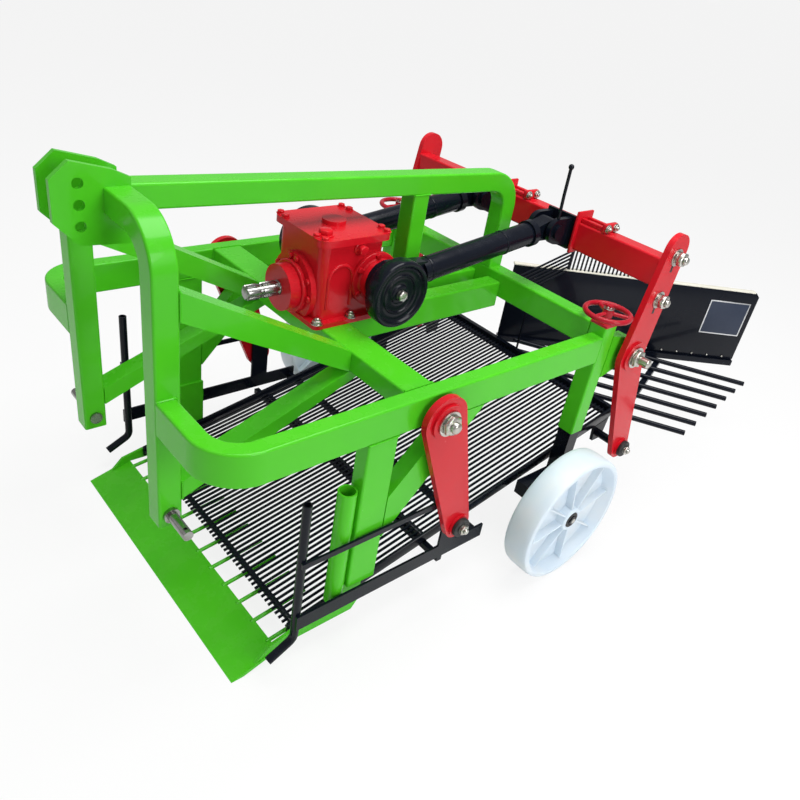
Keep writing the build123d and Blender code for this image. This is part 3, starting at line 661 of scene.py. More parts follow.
    @staticmethod
    def stood(
        name: str,
        rings: Sequence[Ring],
        sides: int,
        edge: float,
        stands: Sequence[tuple[Vector, Vector]],
    ) -> list[Piece]:
        """Turn a shape once and stand copies of it.

        Args:
            name: the shape's name.
            rings: its rings from the base up.
            sides: how many sides it has.
            edge: the radius of its edges in mm.
            stands: each copy's base and the way that it points.

        Returns:
            The copies.
        """
        pattern = Bench.soften(Bench.turned(name, rings, sides), edge * MM)
        copies = [Bench.stand(pattern, place, axis) for place, axis in stands]
        Bench.remove([pattern])
        return copies

    @staticmethod
    def join(name: str, pieces: Sequence[Piece]) -> Piece:
        """Join pieces into one object.

        Args:
            name: the joined object's name.
            pieces: the pieces, which then are gone.

        Returns:
            The joined object.
        """
        Bench.only(pieces[0])
        for piece in pieces:
            piece.select_set(True)
        bpy.ops.object.join()
        joined = bpy.context.object
        joined.name = name
        joined.data.name = name
        return joined

    @staticmethod
    def remove(pieces: Sequence[Piece]) -> None:
        """Delete patterns that are no longer needed.

        Args:
            pieces: the patterns.
        """
        for piece in pieces:
            bpy.data.objects.remove(piece)


@dataclass(frozen=True)
class Fastener:
    """A fastener's form, in shares of its thread's diameter."""

    rings: tuple[Ring, ...]
    sides: int
    height: float
    edge: float = 0.0
    edge_mm: float = 0.0


THREAD = tuple(ring for n in range(8) for ring in ((0.5, (n + 0.5) * 0.13), (0.47, (n + 1) * 0.13)))
FASTENERS = {
    "bolt": Fastener(((0.95, 0), (0.95, 0.5525), (0.817, 0.65), (0.19, 0.65)), 6, 0.65, 0.03),
    "nut": Fastener(
        ((0.836, 0), (0.95, 0.096), (0.95, 0.704), (0.836, 0.8), (0.56, 0.8), (0.5, 0.688)),
        6, 0.8, 0.02,
    ),
    "jam": Fastener(((0.855, 0), (0.95, 0.0675), (0.95, 0.3825), (0.817, 0.45)), 6, 0.45, 0.02),
    "washer": Fastener(
        ((1.15, 0), (1.15, 0.17), (0.55, 0.17), (0.54, 0.102)), 28, 0.17, edge_mm=0.3
    ),
    "spring": Fastener(((0.86, 0), (0.86, 0.22), (0.6, 0.22)), 24, 0.22, edge_mm=0.3),
    "tip": Fastener(((0.5, 0), (0.5, 0.3), (0.42, 0.42), (0.2, 0.48)), 20, 0.48, 0.04),
    "stud": Fastener(((0.47, 0), *THREAD, (0.376, 1.118)), 18, 1.1),
}


@dataclass
class Hardware:
    """Nuts, washers, studs and bolt heads, each modelled once and copied."""

    patterns: dict[str, Piece] = field(default_factory=dict)

    def pattern(self, kind: str, size: float) -> Piece:
        """The pattern of a fastener, made the first time that it is asked for.

        Args:
            kind: a name in FASTENERS.
            size: the thread's diameter in mm.

        Returns:
            The pattern.
        """
        key = f"{kind}_{size:g}"
        if key not in self.patterns:
            form = FASTENERS[kind]
            rings = [(radius * size, height * size) for radius, height in form.rings]
            piece = Bench.turned(key, rings, form.sides)
            edge = form.edge * size + form.edge_mm
            if edge:
                Bench.soften(piece, edge * MM, 1)
            else:
                bpy.ops.object.shade_smooth_by_angle(angle=ROUND_CREASE)
            self.patterns[key] = piece
        return self.patterns[key]

    def set_down(
        self, kinds: Sequence[str], size: float, place: Vector, axis: Vector, turn: float = 0.0
    ) -> list[Piece]:
        """Stack fasteners on a face.

        Args:
            kinds: the fasteners from the face up.
            size: the thread's diameter in mm.
            place: where the stack starts.
            axis: the way that it points.
            turn: the turn of its hexagons, in degrees.

        Returns:
            The new pieces.
        """
        out: list[Piece] = []
        at = place.copy()
        for kind in kinds:
            out.append(Bench.stand(self.pattern(kind, size), at, axis, turn))
            at = at + axis * (FASTENERS[kind].height * size * MM)
        return out

    def clear(self) -> None:
        """Take the patterns out of the scene once every copy is made."""
        Bench.remove(list(self.patterns.values()))
        self.patterns.clear()


@dataclass
class NodeDresser:
    """Gives every node of the frame its finish."""

    finishes: Finishes
    nodes: dict[str, Piece]
    record: dict

    def dress(self) -> None:
        """Dress each node by its record slot, with the few that differ named here."""
        by_slot = {finish.slot: finish for finish in (GREEN, RED, BLACK, TURNED, NYLON)}
        special = {"depth_screws": DARK_RED}
        for row in self.record["subparts"]:
            name = row["node"]
            finish = special.get(name, by_slot[Slot(row["material_slot"])])
            piece = self.finishes.dress(self.nodes[name], finish)
            Bench.only(piece)
            bpy.ops.object.shade_smooth_by_angle(angle=NODE_CREASE)
        log.info("dressed %d nodes", len(self.nodes))


@dataclass
class Yard:
    """Takes in finished pieces: dresses them, ties each to its body and reports it."""

    finishes: Finishes

    def take(
        self,
        name: str,
        pieces: Sequence[Piece],
        body: str,
        finish: object,
        stands_for: Sequence[str] = (),
    ) -> None:
        """Join, dress and place a piece.

        Args:
            name: the piece's name.
            pieces: the meshes that make it up.
            body: the body that it moves with.
            finish: the finish that it shows, which knows its slot.
            stands_for: the frame's nodes that it stands for.
        """
        piece = Bench.join(name, pieces)
        self.finishes.dress(piece, finish)
        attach(piece, body)
        if stands_for:
            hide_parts(*stands_for)
        log.info("%s: %d faces on %s", name, len(piece.data.polygons), body)


@dataclass
class Maker:
    """What each class that makes pieces works with."""

    yard: Yard
    hardware: Hardware


@dataclass
class Pivots(Maker):
    """Washers, nuts and studs of the swinging arms and hangers."""

    face: float = 474.6
    plate_face: float = 468.0
    pin_size: float = 26.0
    clamp_size: float = 20.0
    eye_size: float = 15.0
    hanger: Spot = (-495.0, 595.0)
    pivot: Spot = (200.0, 582.0)
    clamps: tuple[Spot, ...] = ((238.0, 857.0), (223.0, 744.0))
    link: Spot = (122.0, -343.0)
    seal: tuple[Ring, ...] = ((25.5, 0.0), (25.5, 9.0), (23.5, 11.0), (20.0, 11.0), (19.0, 10.4))

    def build(self) -> None:
        """Make both sides."""
        for side in SIDES:
            self.frame_side(side)
            self.clamp_side(side)
            self.eye_side(side)

    def frame_side(self, side: Side) -> None:
        """Fasteners on the frame's two pivots of one side.

        Args:
            side: the side to make.
        """
        parts: list[Piece] = []
        for (y, z), end in ((self.hanger, "tip"), (self.pivot, "stud")):
            place = side.at(self.face, y, z)
            kinds = ("washer", "jam", end)
            parts += self.hardware.set_down(kinds, self.pin_size, place, side.axis, 12.0)
        self.yard.take(f"pivot_nuts_{side.label}", parts, "frame", ZINC)

    def clamp_side(self, side: Side) -> None:
        """Bolts that clamp the arm's upper end, each with a black pad below it that is painted
        shade standing in for its slot.

        Args:
            side: the side to make.
        """
        kinds = ("washer", "spring", "nut", "tip")
        parts: list[Piece] = []
        slots: list[Piece] = []
        for y, z in self.clamps:
            place = side.at(self.plate_face, y, z)
            parts += self.hardware.set_down(kinds, self.clamp_size, place, side.axis, 20.0)
            # a black pad on the plate face: painted shade of the slot's opening, not a rubber part
            low = side.at(self.plate_face - 1.0, y - 8.0, z - 40.0)
            high = side.at(self.plate_face + 0.4, y + 2.0, z - 12.0)
            slots.append(Bench.span(f"slot_{side.label}", low, high, 4.0 * MM))
        self.yard.take(f"arm_clamp_nuts_{side.label}", parts, "swing", ZINC)
        self.yard.take(f"arm_slot_shade_{side.label}", slots, "swing", RUBBER)

    def eye_side(self, side: Side) -> None:
        """Seals and bolts on the lower eyes, which the sieve carries.

        Args:
            side: the side to make.
        """
        axis = side.axis
        kinds = ("spring", "jam", "tip")
        seals: list[Piece] = []
        bolts: list[Piece] = []
        for y, z in (self.hanger, self.pivot):
            place = side.at(self.face - 0.1, y + self.link[0], z + self.link[1])
            seals += Bench.stood("seal", self.seal, 32, 0.6, ((place, axis),))
            head = place + axis * 10.6 * MM
            bolts += self.hardware.set_down(kinds, self.eye_size, head, axis, 8.0)
        self.yard.take(f"eye_seals_{side.label}", seals, "sieve", RUBBER)
        self.yard.take(f"eye_bolts_{side.label}", bolts, "sieve", ZINC)


@dataclass
class Drive(Maker):
    """Gearbox fasteners and castings, splined stub, the crank's discs and the rods' bands."""

    half: float = 88.0
    front: float = -568.0
    rear: float = -392.0
    lid: float = 856.0
    base: float = 662.0
    pad: float = 14.0
    pad_circle: float = 69.0
    pad_angles: tuple[float, ...] = (28.0, 80.0, 100.0, 152.0, 185.0, 355.0)
    flange_circle: float = 57.0
    flange_bolts: int = 6
    input_z: float = 718.0
    crank: Spot = (-418.0, 747.0)
    arch: Spot = (-513.0, 758.0)
    arch_radius: float = 33.0
    arch_foot: float = 690.0
    plug: Spot = (-469.0, 826.0)
    stub_tip: float = -705.0
    splines: int = 6
    disc_in: float = 158.0
    rod_x: float = 138.0
    rod_lift: float = 8.0
    rod_end: Spot = (130.0, 829.0)
    bands_at: Pair = (118.0, 372.0)
    disc: tuple[Ring, ...] = (
        (76.0, 0.0), (80.0, 4.0), (80.0, 33.0), (77.0, 37.0), (69.0, 37.0), (66.0, 31.0),
        (62.0, 29.0), (48.0, 29.0), (46.5, 32.0), (43.5, 32.0), (42.0, 28.0), (24.0, 27.0),
        (22.0, 31.0), (15.0, 32.0),
    )

    def build(self) -> None:
        """Make the drive's pieces."""
        self.bolts()
        self.foot_nuts()
        self.castings()
        self.stub()
        self.discs()
        self.bands()

    def bolts(self) -> None:
        """Bolts on the lid, the input bearing's pad and the shaft flanges."""
        lid = [(x * self.half, y) for x in (-1, 1) for y in (self.front + 2, self.rear - 2)]
        lid += [(x * 62.0, y) for x in (-1, 1) for y in (self.front - 2, self.rear + 2)]
        capped = ("washer", "bolt")
        parts: list[Piece] = []
        for x, y in lid:
            parts += self.hardware.set_down(capped, 9.0, mm(x, y, self.lid), UP, x + y)
        filler = mm(60.0, self.front + 22.0, self.lid)
        parts += self.hardware.set_down(capped, 17.0, filler, UP, 10.0)
        for angle in self.pad_angles:
            x, z = polar(self.pad_circle, angle)
            place = mm(x, self.front - self.pad, self.input_z + z)
            parts += self.hardware.set_down(("bolt",), 8.0, place, AHEAD, angle)
        for side in SIDES:
            for n in range(self.flange_bolts):
                y, z = polar(self.flange_circle, 360.0 / self.flange_bolts * (n + 0.5))
                place = side.at(self.half + 10.0, self.crank[0] + y, self.crank[1] + z)
                parts += self.hardware.set_down(("bolt",), 8.0, place, side.axis, 15.0 * n)
        self.yard.take("gearbox_bolts", parts, "frame", RED)

    def foot_nuts(self) -> None:
        """Nuts that hold the housing's base to its beams."""
        kinds = ("washer", "spring", "jam", "tip")
        rows = (self.front - 6.0, (self.front + self.rear) / 2, self.rear + 6.0)
        feet: list[Piece] = []
        for x, y in [(x * (self.half + 9.0), y) for x in (-1, 1) for y in rows]:
            feet += self.hardware.set_down(kinds, 12.0, mm(x, y, self.base), UP, x)
        self.yard.take("gearbox_foot_nuts", feet, "frame", ZINC)

    def castings(self) -> None:
        """Raised arch, shaft flange and plug boss on each side, and the input's hub ring."""
        flange = ((66.0, 0.0), (66.0, 9.0), (64.5, 10.0), (52.0, 10.0), (49.0, 14.0))
        boss = ((15.0, 0.0), (15.0, 4.0), (12.0, 5.0), (11.0, 12.0))
        ring = ((62.0, 0.0), (62.0, 9.0), (60.0, 11.0), (54.0, 11.0))
        y, z = self.arch
        bend = [polar(self.arch_radius, 180.0 - 15.0 * n) for n in range(13)]
        spots = [(y + across, z + rise) for across, rise in bend]
        spots = [(spots[0][0], self.arch_foot), *spots, (spots[-1][0], self.arch_foot)]
        parts: list[Piece] = []
        for side in SIDES:
            axis = side.axis
            arch = [side.at(self.half + 0.5, *spot) for spot in spots]
            parts.append(Bench.bar(f"arch_{side.label}", arch, 4.6))
            face = side.at(self.half, *self.crank)
            parts += Bench.stood("flange", flange, 48, 1.2, ((face, axis),))
            seat = side.at(self.half, *self.plug)
            parts += Bench.stood("plug", boss, 24, 0.8, ((seat, axis),))
            parts += self.hardware.set_down(("bolt",), 13.0, seat + axis * boss[-1][1] * MM, axis)
        hub = mm(0.0, self.front - self.pad, self.input_z)
        parts += Bench.stood("hub_ring", ring, 48, 1.2, ((hub, AHEAD),))
        self.yard.take("gearbox_castings", parts, "frame", RED)

    def stub(self) -> None:
        """The splined stub: six splines with a locking groove behind the tip."""
        core = ((12.8, 0.0), (14.4, 2.0), (14.4, 78.0), (17.4, 82.0), (17.4, 136.0))
        parts = [Bench.soften(Bench.turned("stub", core, 48), 0.4 * MM)]
        for low, high in ((2.5, 33.0), (41.0, 80.0)):
            for n in range(self.splines):
                ridge = Bench.span("spline", mm(-4.7, 11.0, low), mm(4.7, 17.3, high), 0.9 * MM)
                turn = math.radians(360.0 / self.splines * n + 14.0)
                ridge.data.transform(Matrix.Rotation(turn, 4, "Z"))
                parts.append(ridge)
        whole = Bench.join("splined", parts)
        piece = Bench.stand(whole, mm(0.0, self.stub_tip, self.input_z), -AHEAD)
        Bench.remove([whole])
        self.yard.take("splined_stub", [piece], "pto", TURNED, ("pto_shaft",))

    def discs(self) -> None:
        """Stepped cast disc at each end of the crank, with its end bolt."""
        stands = [(side.at(self.disc_in, *self.crank), side.axis) for side in SIDES]
        discs = Bench.stood("disc", self.disc, 64, 1.0, stands)
        bolts: list[Piece] = []
        for place, axis in stands:
            head = place + axis * self.disc[-1][1] * MM
            bolts += self.hardware.set_down(("spring", "bolt"), 14.0, head, axis, 10.0)
        self.yard.take("eccentric_discs", discs, "crank", BLACK, ("flywheels",))
        self.yard.take("crank_end_bolts", bolts, "crank", ZINC)

    def bands(self) -> None:
        """Two raised bands on each rod's tube."""
        band = ((30.3, 0.0), (31.4, 1.0), (31.4, 9.0), (30.3, 10.0))
        for side in SIDES:
            start = side.at(self.rod_x, self.crank[0], self.crank[1] + self.rod_lift)
            along = (side.at(self.rod_x, *self.rod_end) - start).normalized()
            stands = [(start + along * at * MM, along) for at in self.bands_at]
            parts = Bench.stood("band", band, 40, 0.4, stands)
            self.yard.take(f"rod_bands_{side.label}", parts, f"rod_{side.label}", BLACK)


@dataclass
class SwingBeam(Maker):
    """Plates and straps that clasp the swing beam beside each fork, and the near fork's lever."""

    front: float = 190.0
    depth: float = 50.0
    top: float = 855.0
    starts: tuple[float, ...] = (190.0, -87.0)
    reach: float = 92.0

    def build(self) -> None:
        """Make the clasps, their bolts and the lever."""
        back = self.front + self.depth
        plates: list[Piece] = []
        bolts: list[Piece] = []
        for x in self.starts:
            low = mm(x, self.front - 12.0, self.top - 84.0)
            high = mm(x + 8.0, back + 4.0, self.top + 30.0)
            plates.append(Bench.span("clasp", low, high, 2.5 * MM))
            for y in (self.front + 4.0, back - 16.0):
                low = mm(x + 4.0, y, self.top - 1.0)
                high = mm(x + self.reach - 6.0, y + 12.0, self.top + 13.0)
                plates.append(Bench.span("strap", low, high, 2.0 * MM))
            low = mm(x + self.reach - 14.0, self.front - 2.0, self.top - 1.0)
            high = mm(x + self.reach, back + 2.0, self.top + 24.0)
            plates.append(Bench.span("end_lug", low, high, 4.0 * MM))
            for y in (self.front + 8.0, back - 8.0):
                place = mm(x + self.reach, y, self.top + 12.0)
                bolts += self.hardware.set_down(("washer", "jam", "tip"), 10.0, place, RIGHT, 20.0)
        self.yard.take("beam_clasps", plates, "swing", RED)
        self.yard.take("clasp_bolts", bolts, "swing", ZINC)
        self.lever()

    def lever(self) -> None:
        """A thin hand lever with a rounded end."""
        head = mm(175.0, 118.0, 1000.0)
        line = (mm(171.0, 130.0, 852.0), mm(172.0, 124.0, 925.0), head)
        stem = Bench.bar("lever", line, 4.6)
        knob = ((3.0, 0.0), (6.2, 2.5), (7.4, 7.0), (6.2, 11.5), (2.5, 14.0))
        ball = Bench.stood("knob", knob, 24, 0.8, ((head - UP * 6.0 * MM, UP),))
        self.yard.take("fork_lever", [stem, *ball], "swing", BLACK)


@dataclass
class Sieve(Maker):
    """The close-set rod floor that the photograph shows, the panel and the fence behind it."""

    half: float = 377.0
    edge: float = 10.0
    front: float = -790.0
    rear: float = 360.0
    front_z: float = 62.0
    slope: float = 11.8
    rod: float = 4.0
    pitch: float = 15.0
    panel_start: Pair = (-125.0, 382.0)
    panel_end: Pair = (403.0, 1086.8)
    panel_foot: float = 316.0
    panel_height: float = 265.0
    panel_cut: float = 16.0
    plate_low: Pair = (714.0, 96.0)
    plate_high: Pair = (862.0, 222.0)
    rivets: int = 8
    rivet_start: Pair = (430.0, 12.0)
    rivet_pitch: float = 58.0
    fence_at: Pair = (187.0, 9.0)
    fence_top: float = 655.0
    fence_pitch: float = 14.0
    fence_rods: int = 24
    fence_runs: int = 6
    fence_rail: float = 340.0
    stay_foot: Spot = (366.0, 312.0)
    stay_height: float = 263.0

    def build(self) -> None:
        """Make the floor, the panel and the fence."""
        self.floor()
        self.panel()
        self.fence()

    def height(self, y: float) -> float:
        """Height of the rods' centre line at a station."""
        return self.front_z + math.tan(math.radians(self.slope)) * (y - self.front)

    def floor(self) -> None:
        """Rods, flats across them and the flats along the sides."""
        rods: list[Piece] = []
        count = int(self.half / self.pitch)
        ends = (self.front + 1.0, self.rear - 4.0)
        for n in range(-count, count + 1):
            line = [mm(n * self.pitch, y, self.height(y)) for y in ends]
            rods.append(Bench.bar(f"rod_{n}", line, self.rod, 1))
        for y in (self.front + 20.0, self.front + 410.0, self.rear - 12.0):
            z = self.height(y) - 3.0
            low, high = mm(-self.half, y - 6.0, z - 7.0), mm(self.half, y + 6.0, z + 5.0)
            rods.append(Bench.span("flat", low, high, 1.5 * MM))
        corners = ((self.front, -14), (self.rear, -14), (self.rear, 15), (self.front, 15))
        outline = [(y, self.height(y) + rise) for y, rise in corners]
        for side in SIDES:
            middle = side.way * (self.half + self.edge / 2)
            origin = mm(middle - self.edge / 2, 0.0, 0.0)
            flat = Bench.plate(f"side_{side.label}", outline, origin, -AHEAD, UP, self.edge, 1.5)
            rods.append(flat)
        self.yard.take("sieve_rods", rods, "sieve", BLACK, ("sieve_floor",))

    def panel_line(self) -> tuple[Vector, Vector, Vector, float]:
        """The panel's foot.

        Returns:
            Its start, its direction, the way to its back and its length in mm.
        """
        start = mm(*self.panel_start, self.panel_foot)
        run = mm(*self.panel_end, self.panel_foot) - start
        along = run.normalized()
        return start, along, UP.cross(along), run.length / MM

    def panel(self) -> None:
        """Upright sheet with cut corners, its top fold coloured pale as a painted highlight, rivets
        and the blank plate.
        """
        start, along, back, run = self.panel_line()
        tall = self.panel_height
        cut = self.panel_cut
        outline = ((0, 0), (run - 4, 0), (run, 4), (run, tall - cut), (run - cut, tall), (0, tall))
        sheet = Bench.plate("sheet", outline, start + back * 5.0 * MM, along, UP, 5.0, 1.0)
        stands_for = ("deflector_panel",)
        self.yard.take("deflector_sheet", [sheet], "sieve", BLACK, stands_for)
        # the fold's pale cream is a painted highlight along the panel's top
        lip = ((0, tall - 4.4), (run - cut, tall - 4.4), (run - cut, tall + 0.4), (0, tall + 0.4))
        fold = Bench.plate("fold", lip, start + back * 21.5 * MM, along, UP, 21.6, 1.0)
        self.yard.take("panel_fold", [fold], "sieve", PAINTED_HIGHLIGHT_CREAM)
        first, rise = self.rivet_start
        rivets: list[Piece] = []
        for n in range(self.rivets):
            place = start + along * (first + self.rivet_pitch * n) * MM + UP * rise * MM
            rivets += self.hardware.set_down(("tip",), 7.0, place, -back)
        self.yard.take("panel_rivets", rivets, "sieve", ZINC)
        for name, inset, thick, finish in (
            ("plate_border", 0.0, 0.9, PLATE),
            ("plate_field", 4.0, 1.3, FIELD),
        ):
            low, foot = (value + inset for value in self.plate_low)
            high, top = (value - inset for value in self.plate_high)
            outline = ((low, foot), (high, foot), (high, top), (low, top))
            piece = Bench.plate(name, outline, start, along, UP, thick, 0.2)
            self.yard.take(name, [piece], "sieve", finish)

    def fence(self) -> None:
        """Rods behind the panel and along the floor's far side, closed by a top rail."""
        start, along, back, _ = self.panel_line()
        corner = start + along * self.fence_at[0] * MM + back * self.fence_at[1] * MM
        crown = Vector((corner.x, corner.y, self.fence_top * MM))
        rods: list[Piece] = []
        for n in range(1, self.fence_rods + 1):
            foot = corner + along * self.fence_pitch * n * MM
            head = Vector((foot.x, foot.y, crown.z))
            rods.append(Bench.bar("fence_rod", (foot, head), 3.5, 1))
        rods.append(Bench.bar("fence_rail", (crown, crown + along * self.fence_rail * MM), 4.4, 1))
        rods.append(Bench.bar("fence_post", (corner, crown), 6.0, 1))
        reach = corner.y / MM - 250.0
        fall = mm(0.0, reach, reach * math.tan(math.radians(self.slope)))
        for n in range(self.fence_runs):
            level = crown - UP * (7.0 + self.fence_pitch * n) * MM
            rods.append(Bench.bar("fence_run", (level, level - fall), 3.5, 1))
        foot = mm(corner.x / MM, *self.stay_foot)
        rods.append(Bench.bar("fence_stay", (foot, foot + UP * self.stay_height * MM), 4.0, 1))
        self.yard.take("sieve_fence", rods, "sieve", BLACK)


@dataclass
class Wheels(Maker):
    """Moulded ribbed wheels with a black bearing, and the handwheels' nuts."""

    radius: float = 187.0
    width: float = 80.0
    out: float = 580.0
    y: float = -25.0
    ribs: int = 8
    handwheel_top: Place = (413.0, 97.0, 717.0)
    rim: tuple[Ring, ...] = (
        (30.0, 0.0), (34.0, 3.0), (36.0, 34.0), (160.0, 36.0), (168.0, 6.0), (171.0, 1.0),
        (178.0, 0.0), (184.0, 3.0), (186.6, 14.0), (187.0, 40.0), (186.6, 66.0), (184.0, 77.0),
        (178.0, 80.0), (171.0, 79.0), (168.0, 74.0), (160.0, 44.0), (36.0, 46.0), (34.5, 70.0),
        (31.0, 73.0), (24.0, 73.0), (23.4, 71.0),
    )
    rib: tuple[Pair, ...] = ((30, 11), (162, 16), (166, 38), (166, 42), (162, 64), (30, 69))
    bearing: tuple[Ring, ...] = ((23.0, 0.0), (23.0, 2.5), (21.0, 3.5), (15.5, 3.5), (15.0, 1.0))

    def build(self) -> None:
        """Make both wheels."""
        for side in SIDES:
            self.wheel(side)
            self.fittings(side)

    def wheel(self, side: Side) -> None:
        """One wheel: rim with a rounded tread, dished web, hub and tapered ribs.

        Args:
            side: the side to make.
        """
        parts = [Bench.soften(Bench.turned("wheel", self.rim, 72), 1.6 * MM)]
        rib = Bench.plate("rib", self.rib, mm(0.0, 2.5, 0.0), RIGHT, UP, 5.0, 1.4)
        for n in range(self.ribs):
            parts.append(Bench.stand(rib, Vector(), UP, 360.0 / self.ribs * n + 10.0))
        Bench.remove([rib])
        pattern = Bench.join("wheel_pattern", parts)
        place = side.at(self.out - self.width, self.y, self.radius)
        wheel = [Bench.stand(pattern, place, side.axis)]
        Bench.remove([pattern])
        body = f"ground_wheel_{side.label}"
        stands_for = (f"wheel_{side.label}",)
        self.yard.take(f"moulded_wheel_{side.label}", wheel, body, NYLON, stands_for)
        face = side.at(self.out - 9.0, self.y, self.radius)
        ring = Bench.stood("bearing", self.bearing, 40, 0.5, ((face, side.axis),))
        self.yard.take(f"wheel_bearing_{side.label}", ring, body, RUBBER)

    def fittings(self, side: Side) -> None:
        """Bolt on an axle's end, and nut on top of a handwheel's screw.

        Args:
            side: the side to make.
        """
        end = side.at(self.out - 4.0, self.y, self.radius)
        bolt = self.hardware.set_down(("jam",), 8.0, end, side.axis, 8.0)
        self.yard.take(f"axle_bolt_{side.label}", bolt, f"leg_{side.label}", ZINC)
        top = side.at(*self.handwheel_top)
        parts = self.hardware.set_down(("washer", "jam"), 12.0, top, UP, 10.0)
        self.yard.take(f"handwheel_nut_{side.label}", parts, "frame", ZINC)


@dataclass
class Welds(Maker):
    """Weld beads round the frame's main joints."""

    step: float = 5.0
    shank_x: Pair = (398.0, 438.0)
    shank_y: Pair = (-675.0, -597.0)
    shank_top: float = 574.5
    seams: tuple[tuple[Place, Place], ...] = (
        # main cross tube, on the centre post and on the side rail
        ((25.0, -485.0, 651.0), (75.0, -485.0, 651.0)),
        ((25.0, -485.0, 599.0), (75.0, -485.0, 599.0)),
        ((398.0, -565.0, 650.5), (398.0, -485.0, 650.5)),
        ((397.0, -565.0, 649.0), (397.0, -565.0, 601.0)),
        ((75.5, -484.0, 649.0), (75.5, -484.0, 601.0)),
        # rear post
        ((388.0, 72.0, 675.0), (388.0, 122.0, 675.0)),
        # mast leg, on the side rail and on the upper and lower struts
        ((220.5, -1011.0, 651.0), (220.5, -973.0, 651.0)),
        ((220.5, -971.5, 649.0), (220.5, -971.5, 577.0)),
        ((171.0, -961.5, 862.0), (220.5, -961.5, 862.0)),
        ((220.5, -961.5, 861.0), (220.5, -961.5, 803.0)),
        ((171.0, -961.5, 448.0), (220.5, -961.5, 448.0)),
        ((220.5, -961.5, 447.0), (220.5, -961.5, 405.0)),
    )

    def build(self) -> None:
        """Lay the beads."""
        low, high = (Vector(corner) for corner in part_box("centre_post"))
        beads = self.loop((low.x, high.x), (low.y, high.y), high.z)
        along = [y * MM for y in self.shank_y]
        for side in SIDES:
            across = sorted(side.way * x * MM for x in self.shank_x)
            beads += self.loop(across, along, self.shank_top * MM)
            beads += [self.seam(side.at(*start), side.at(*end)) for start, end in self.seams]
        self.yard.take("weld_beads", beads, "frame", GREEN)

    def loop(self, across: Sequence[float], along: Sequence[float], level: float) -> list[Piece]:
        """Beads round a tube's end.

        Args:
            across: the tube's lowest and highest x, in metres.
            along: its lowest and highest y.
            level: the height of the joint.

        Returns:
            The four beads.
        """
        order = ((0, 0), (1, 0), (1, 1), (0, 1))
        corners = [Vector((across[i], along[j], level)) for i, j in order]
        return [self.seam(corners[n], corners[(n + 1) % 4]) for n in range(4)]

    def seam(self, start: Vector, end: Vector) -> Piece:
        """One bead, scalloped along its length.

        Args:
            start: its first end.
            end: its last end.

        Returns:
            The bead.
        """
        run = end - start
        count = max(int(run.length / (self.step * MM)), 2)
        points = [start + run * (n / count) for n in range(count + 1)]
        return Bench.bar("bead", points, 2.6, 1, 0.72)


@dataclass(frozen=True)
class Lamp:
    """A soft square lamp, in metres and watts."""

    name: str
    place: Place
    target: Place
    size: float
    power: float


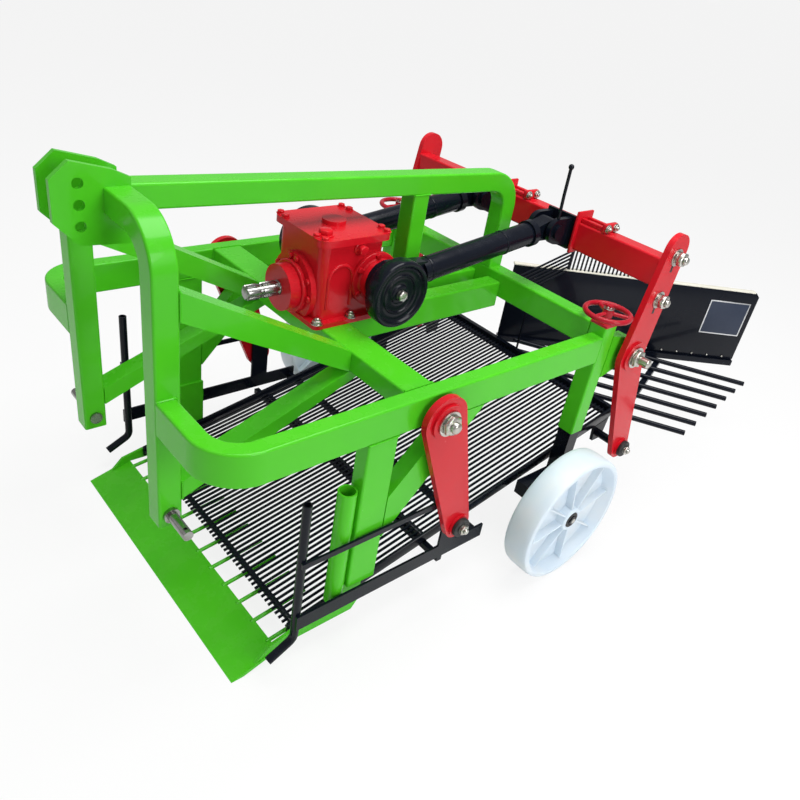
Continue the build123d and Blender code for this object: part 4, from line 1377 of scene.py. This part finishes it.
@dataclass
class Studio:
    """Floor, lamps, world and the camera at the photograph's angle."""

    lens: float = 32.8
    sensor: float = 36.0
    place: Place = (1.2828, -1.4765, 1.4154)
    azimuth: float = 44.4
    dip: float = 31.8
    roll: float = 10.078
    floor_size: float = 600.0
    as_light: float = 0.40
    as_backdrop: float = 0.9
    lamps: tuple[Lamp, ...] = (
        Lamp("overhead", (0.5, 0.1, 3.3), (0.0, 0.1, 0.3), 2.0, 84.0),
        Lamp("front", (-1.2, -3.6, 2.2), (0.0, 0.0, 0.4), 2.2, 6.0),
        Lamp("discharge_side", (3.5, -0.3, 2.0), (0.2, 0.1, 0.4), 1.5, 50.0),
    )

    def build(self, finishes: Finishes) -> None:
        """Make the whole studio.

        Args:
            finishes: where the floor's finish comes from.
        """
        self.floor(finishes)
        self.world()
        for lamp in self.lamps:
            self.hang(lamp)
        self.camera()
        bpy.context.scene.view_settings.view_transform = "Standard"

    def floor(self, finishes: Finishes) -> None:
        """A wide pale floor.

        Args:
            finishes: where its finish comes from.
        """
        bpy.ops.object.select_all(action="DESELECT")
        bpy.ops.mesh.primitive_plane_add(size=self.floor_size, location=(0.0, 0.0, -0.0005))
        floor = bpy.context.object
        floor.name = "floor"
        finishes.dress(floor, Plain("pale_floor", (0.92, 0.92, 0.92), 0.84))

    def world(self) -> None:
        """A pale backdrop to the camera, softer as light."""
        world = bpy.data.worlds.new("studio")
        world.use_nodes = True
        bpy.context.scene.world = world
        tree = world.node_tree
        back = tree.nodes["Background"]
        path = tree.nodes.new("ShaderNodeLightPath")
        level = tree.nodes.new("ShaderNodeMapRange")
        level.inputs["To Min"].default_value = self.as_light
        level.inputs["To Max"].default_value = self.as_backdrop
        tree.links.new(path.outputs["Is Camera Ray"], level.inputs["Value"])
        tree.links.new(level.outputs["Result"], back.inputs["Strength"])
        back.inputs["Color"].default_value = rgba(WHITE)

    def hang(self, row: Lamp) -> None:
        """Hang one lamp, aimed at its target.

        Args:
            row: the lamp's values.
        """
        data = bpy.data.lights.new(row.name, "AREA")
        data.size = row.size
        data.energy = row.power
        lamp = bpy.data.objects.new(row.name, data)
        lamp.location = row.place
        aim = Vector(row.target) - Vector(row.place)
        lamp.rotation_euler = aim.to_track_quat("-Z", "Y").to_euler()
        bpy.context.scene.collection.objects.link(lamp)

    def camera(self) -> None:
        """The camera as fitted to the photograph, rolled as it was."""
        azimuth, dip, roll = (math.radians(a) for a in (self.azimuth, self.dip, self.roll))
        flat = math.cos(dip)
        ahead = Vector((-math.sin(azimuth) * flat, math.cos(azimuth) * flat, -math.sin(dip)))
        right = Vector((math.cos(azimuth), math.sin(azimuth), 0.0))
        right = math.cos(roll) * right + math.sin(roll) * right.cross(ahead)
        up = right.cross(ahead)
        data = bpy.data.cameras.new("camera")
        data.sensor_width = self.sensor
        data.lens = self.lens
        camera = bpy.data.objects.new("camera", data)
        turn = Matrix((right, up, -ahead)).transposed().to_4x4()
        camera.matrix_world = Matrix.Translation(Vector(self.place)) @ turn
        bpy.context.scene.collection.objects.link(camera)
        bpy.context.scene.camera = camera


def main() -> None:
    """Load the frame, dress it and add the small pieces."""
    logging.basicConfig(level=logging.INFO, format="%(name)s: %(message)s")
    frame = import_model()
    finishes = Finishes()
    Studio().build(finishes)
    NodeDresser(finishes, frame["nodes"], frame["record"]).dress()
    yard = Yard(finishes)
    hardware = Hardware()
    for maker in (Pivots, Drive, SwingBeam, Sieve, Wheels, Welds):
        maker(yard, hardware).build()
    hardware.clear()


if __name__ == "__main__":
    main()
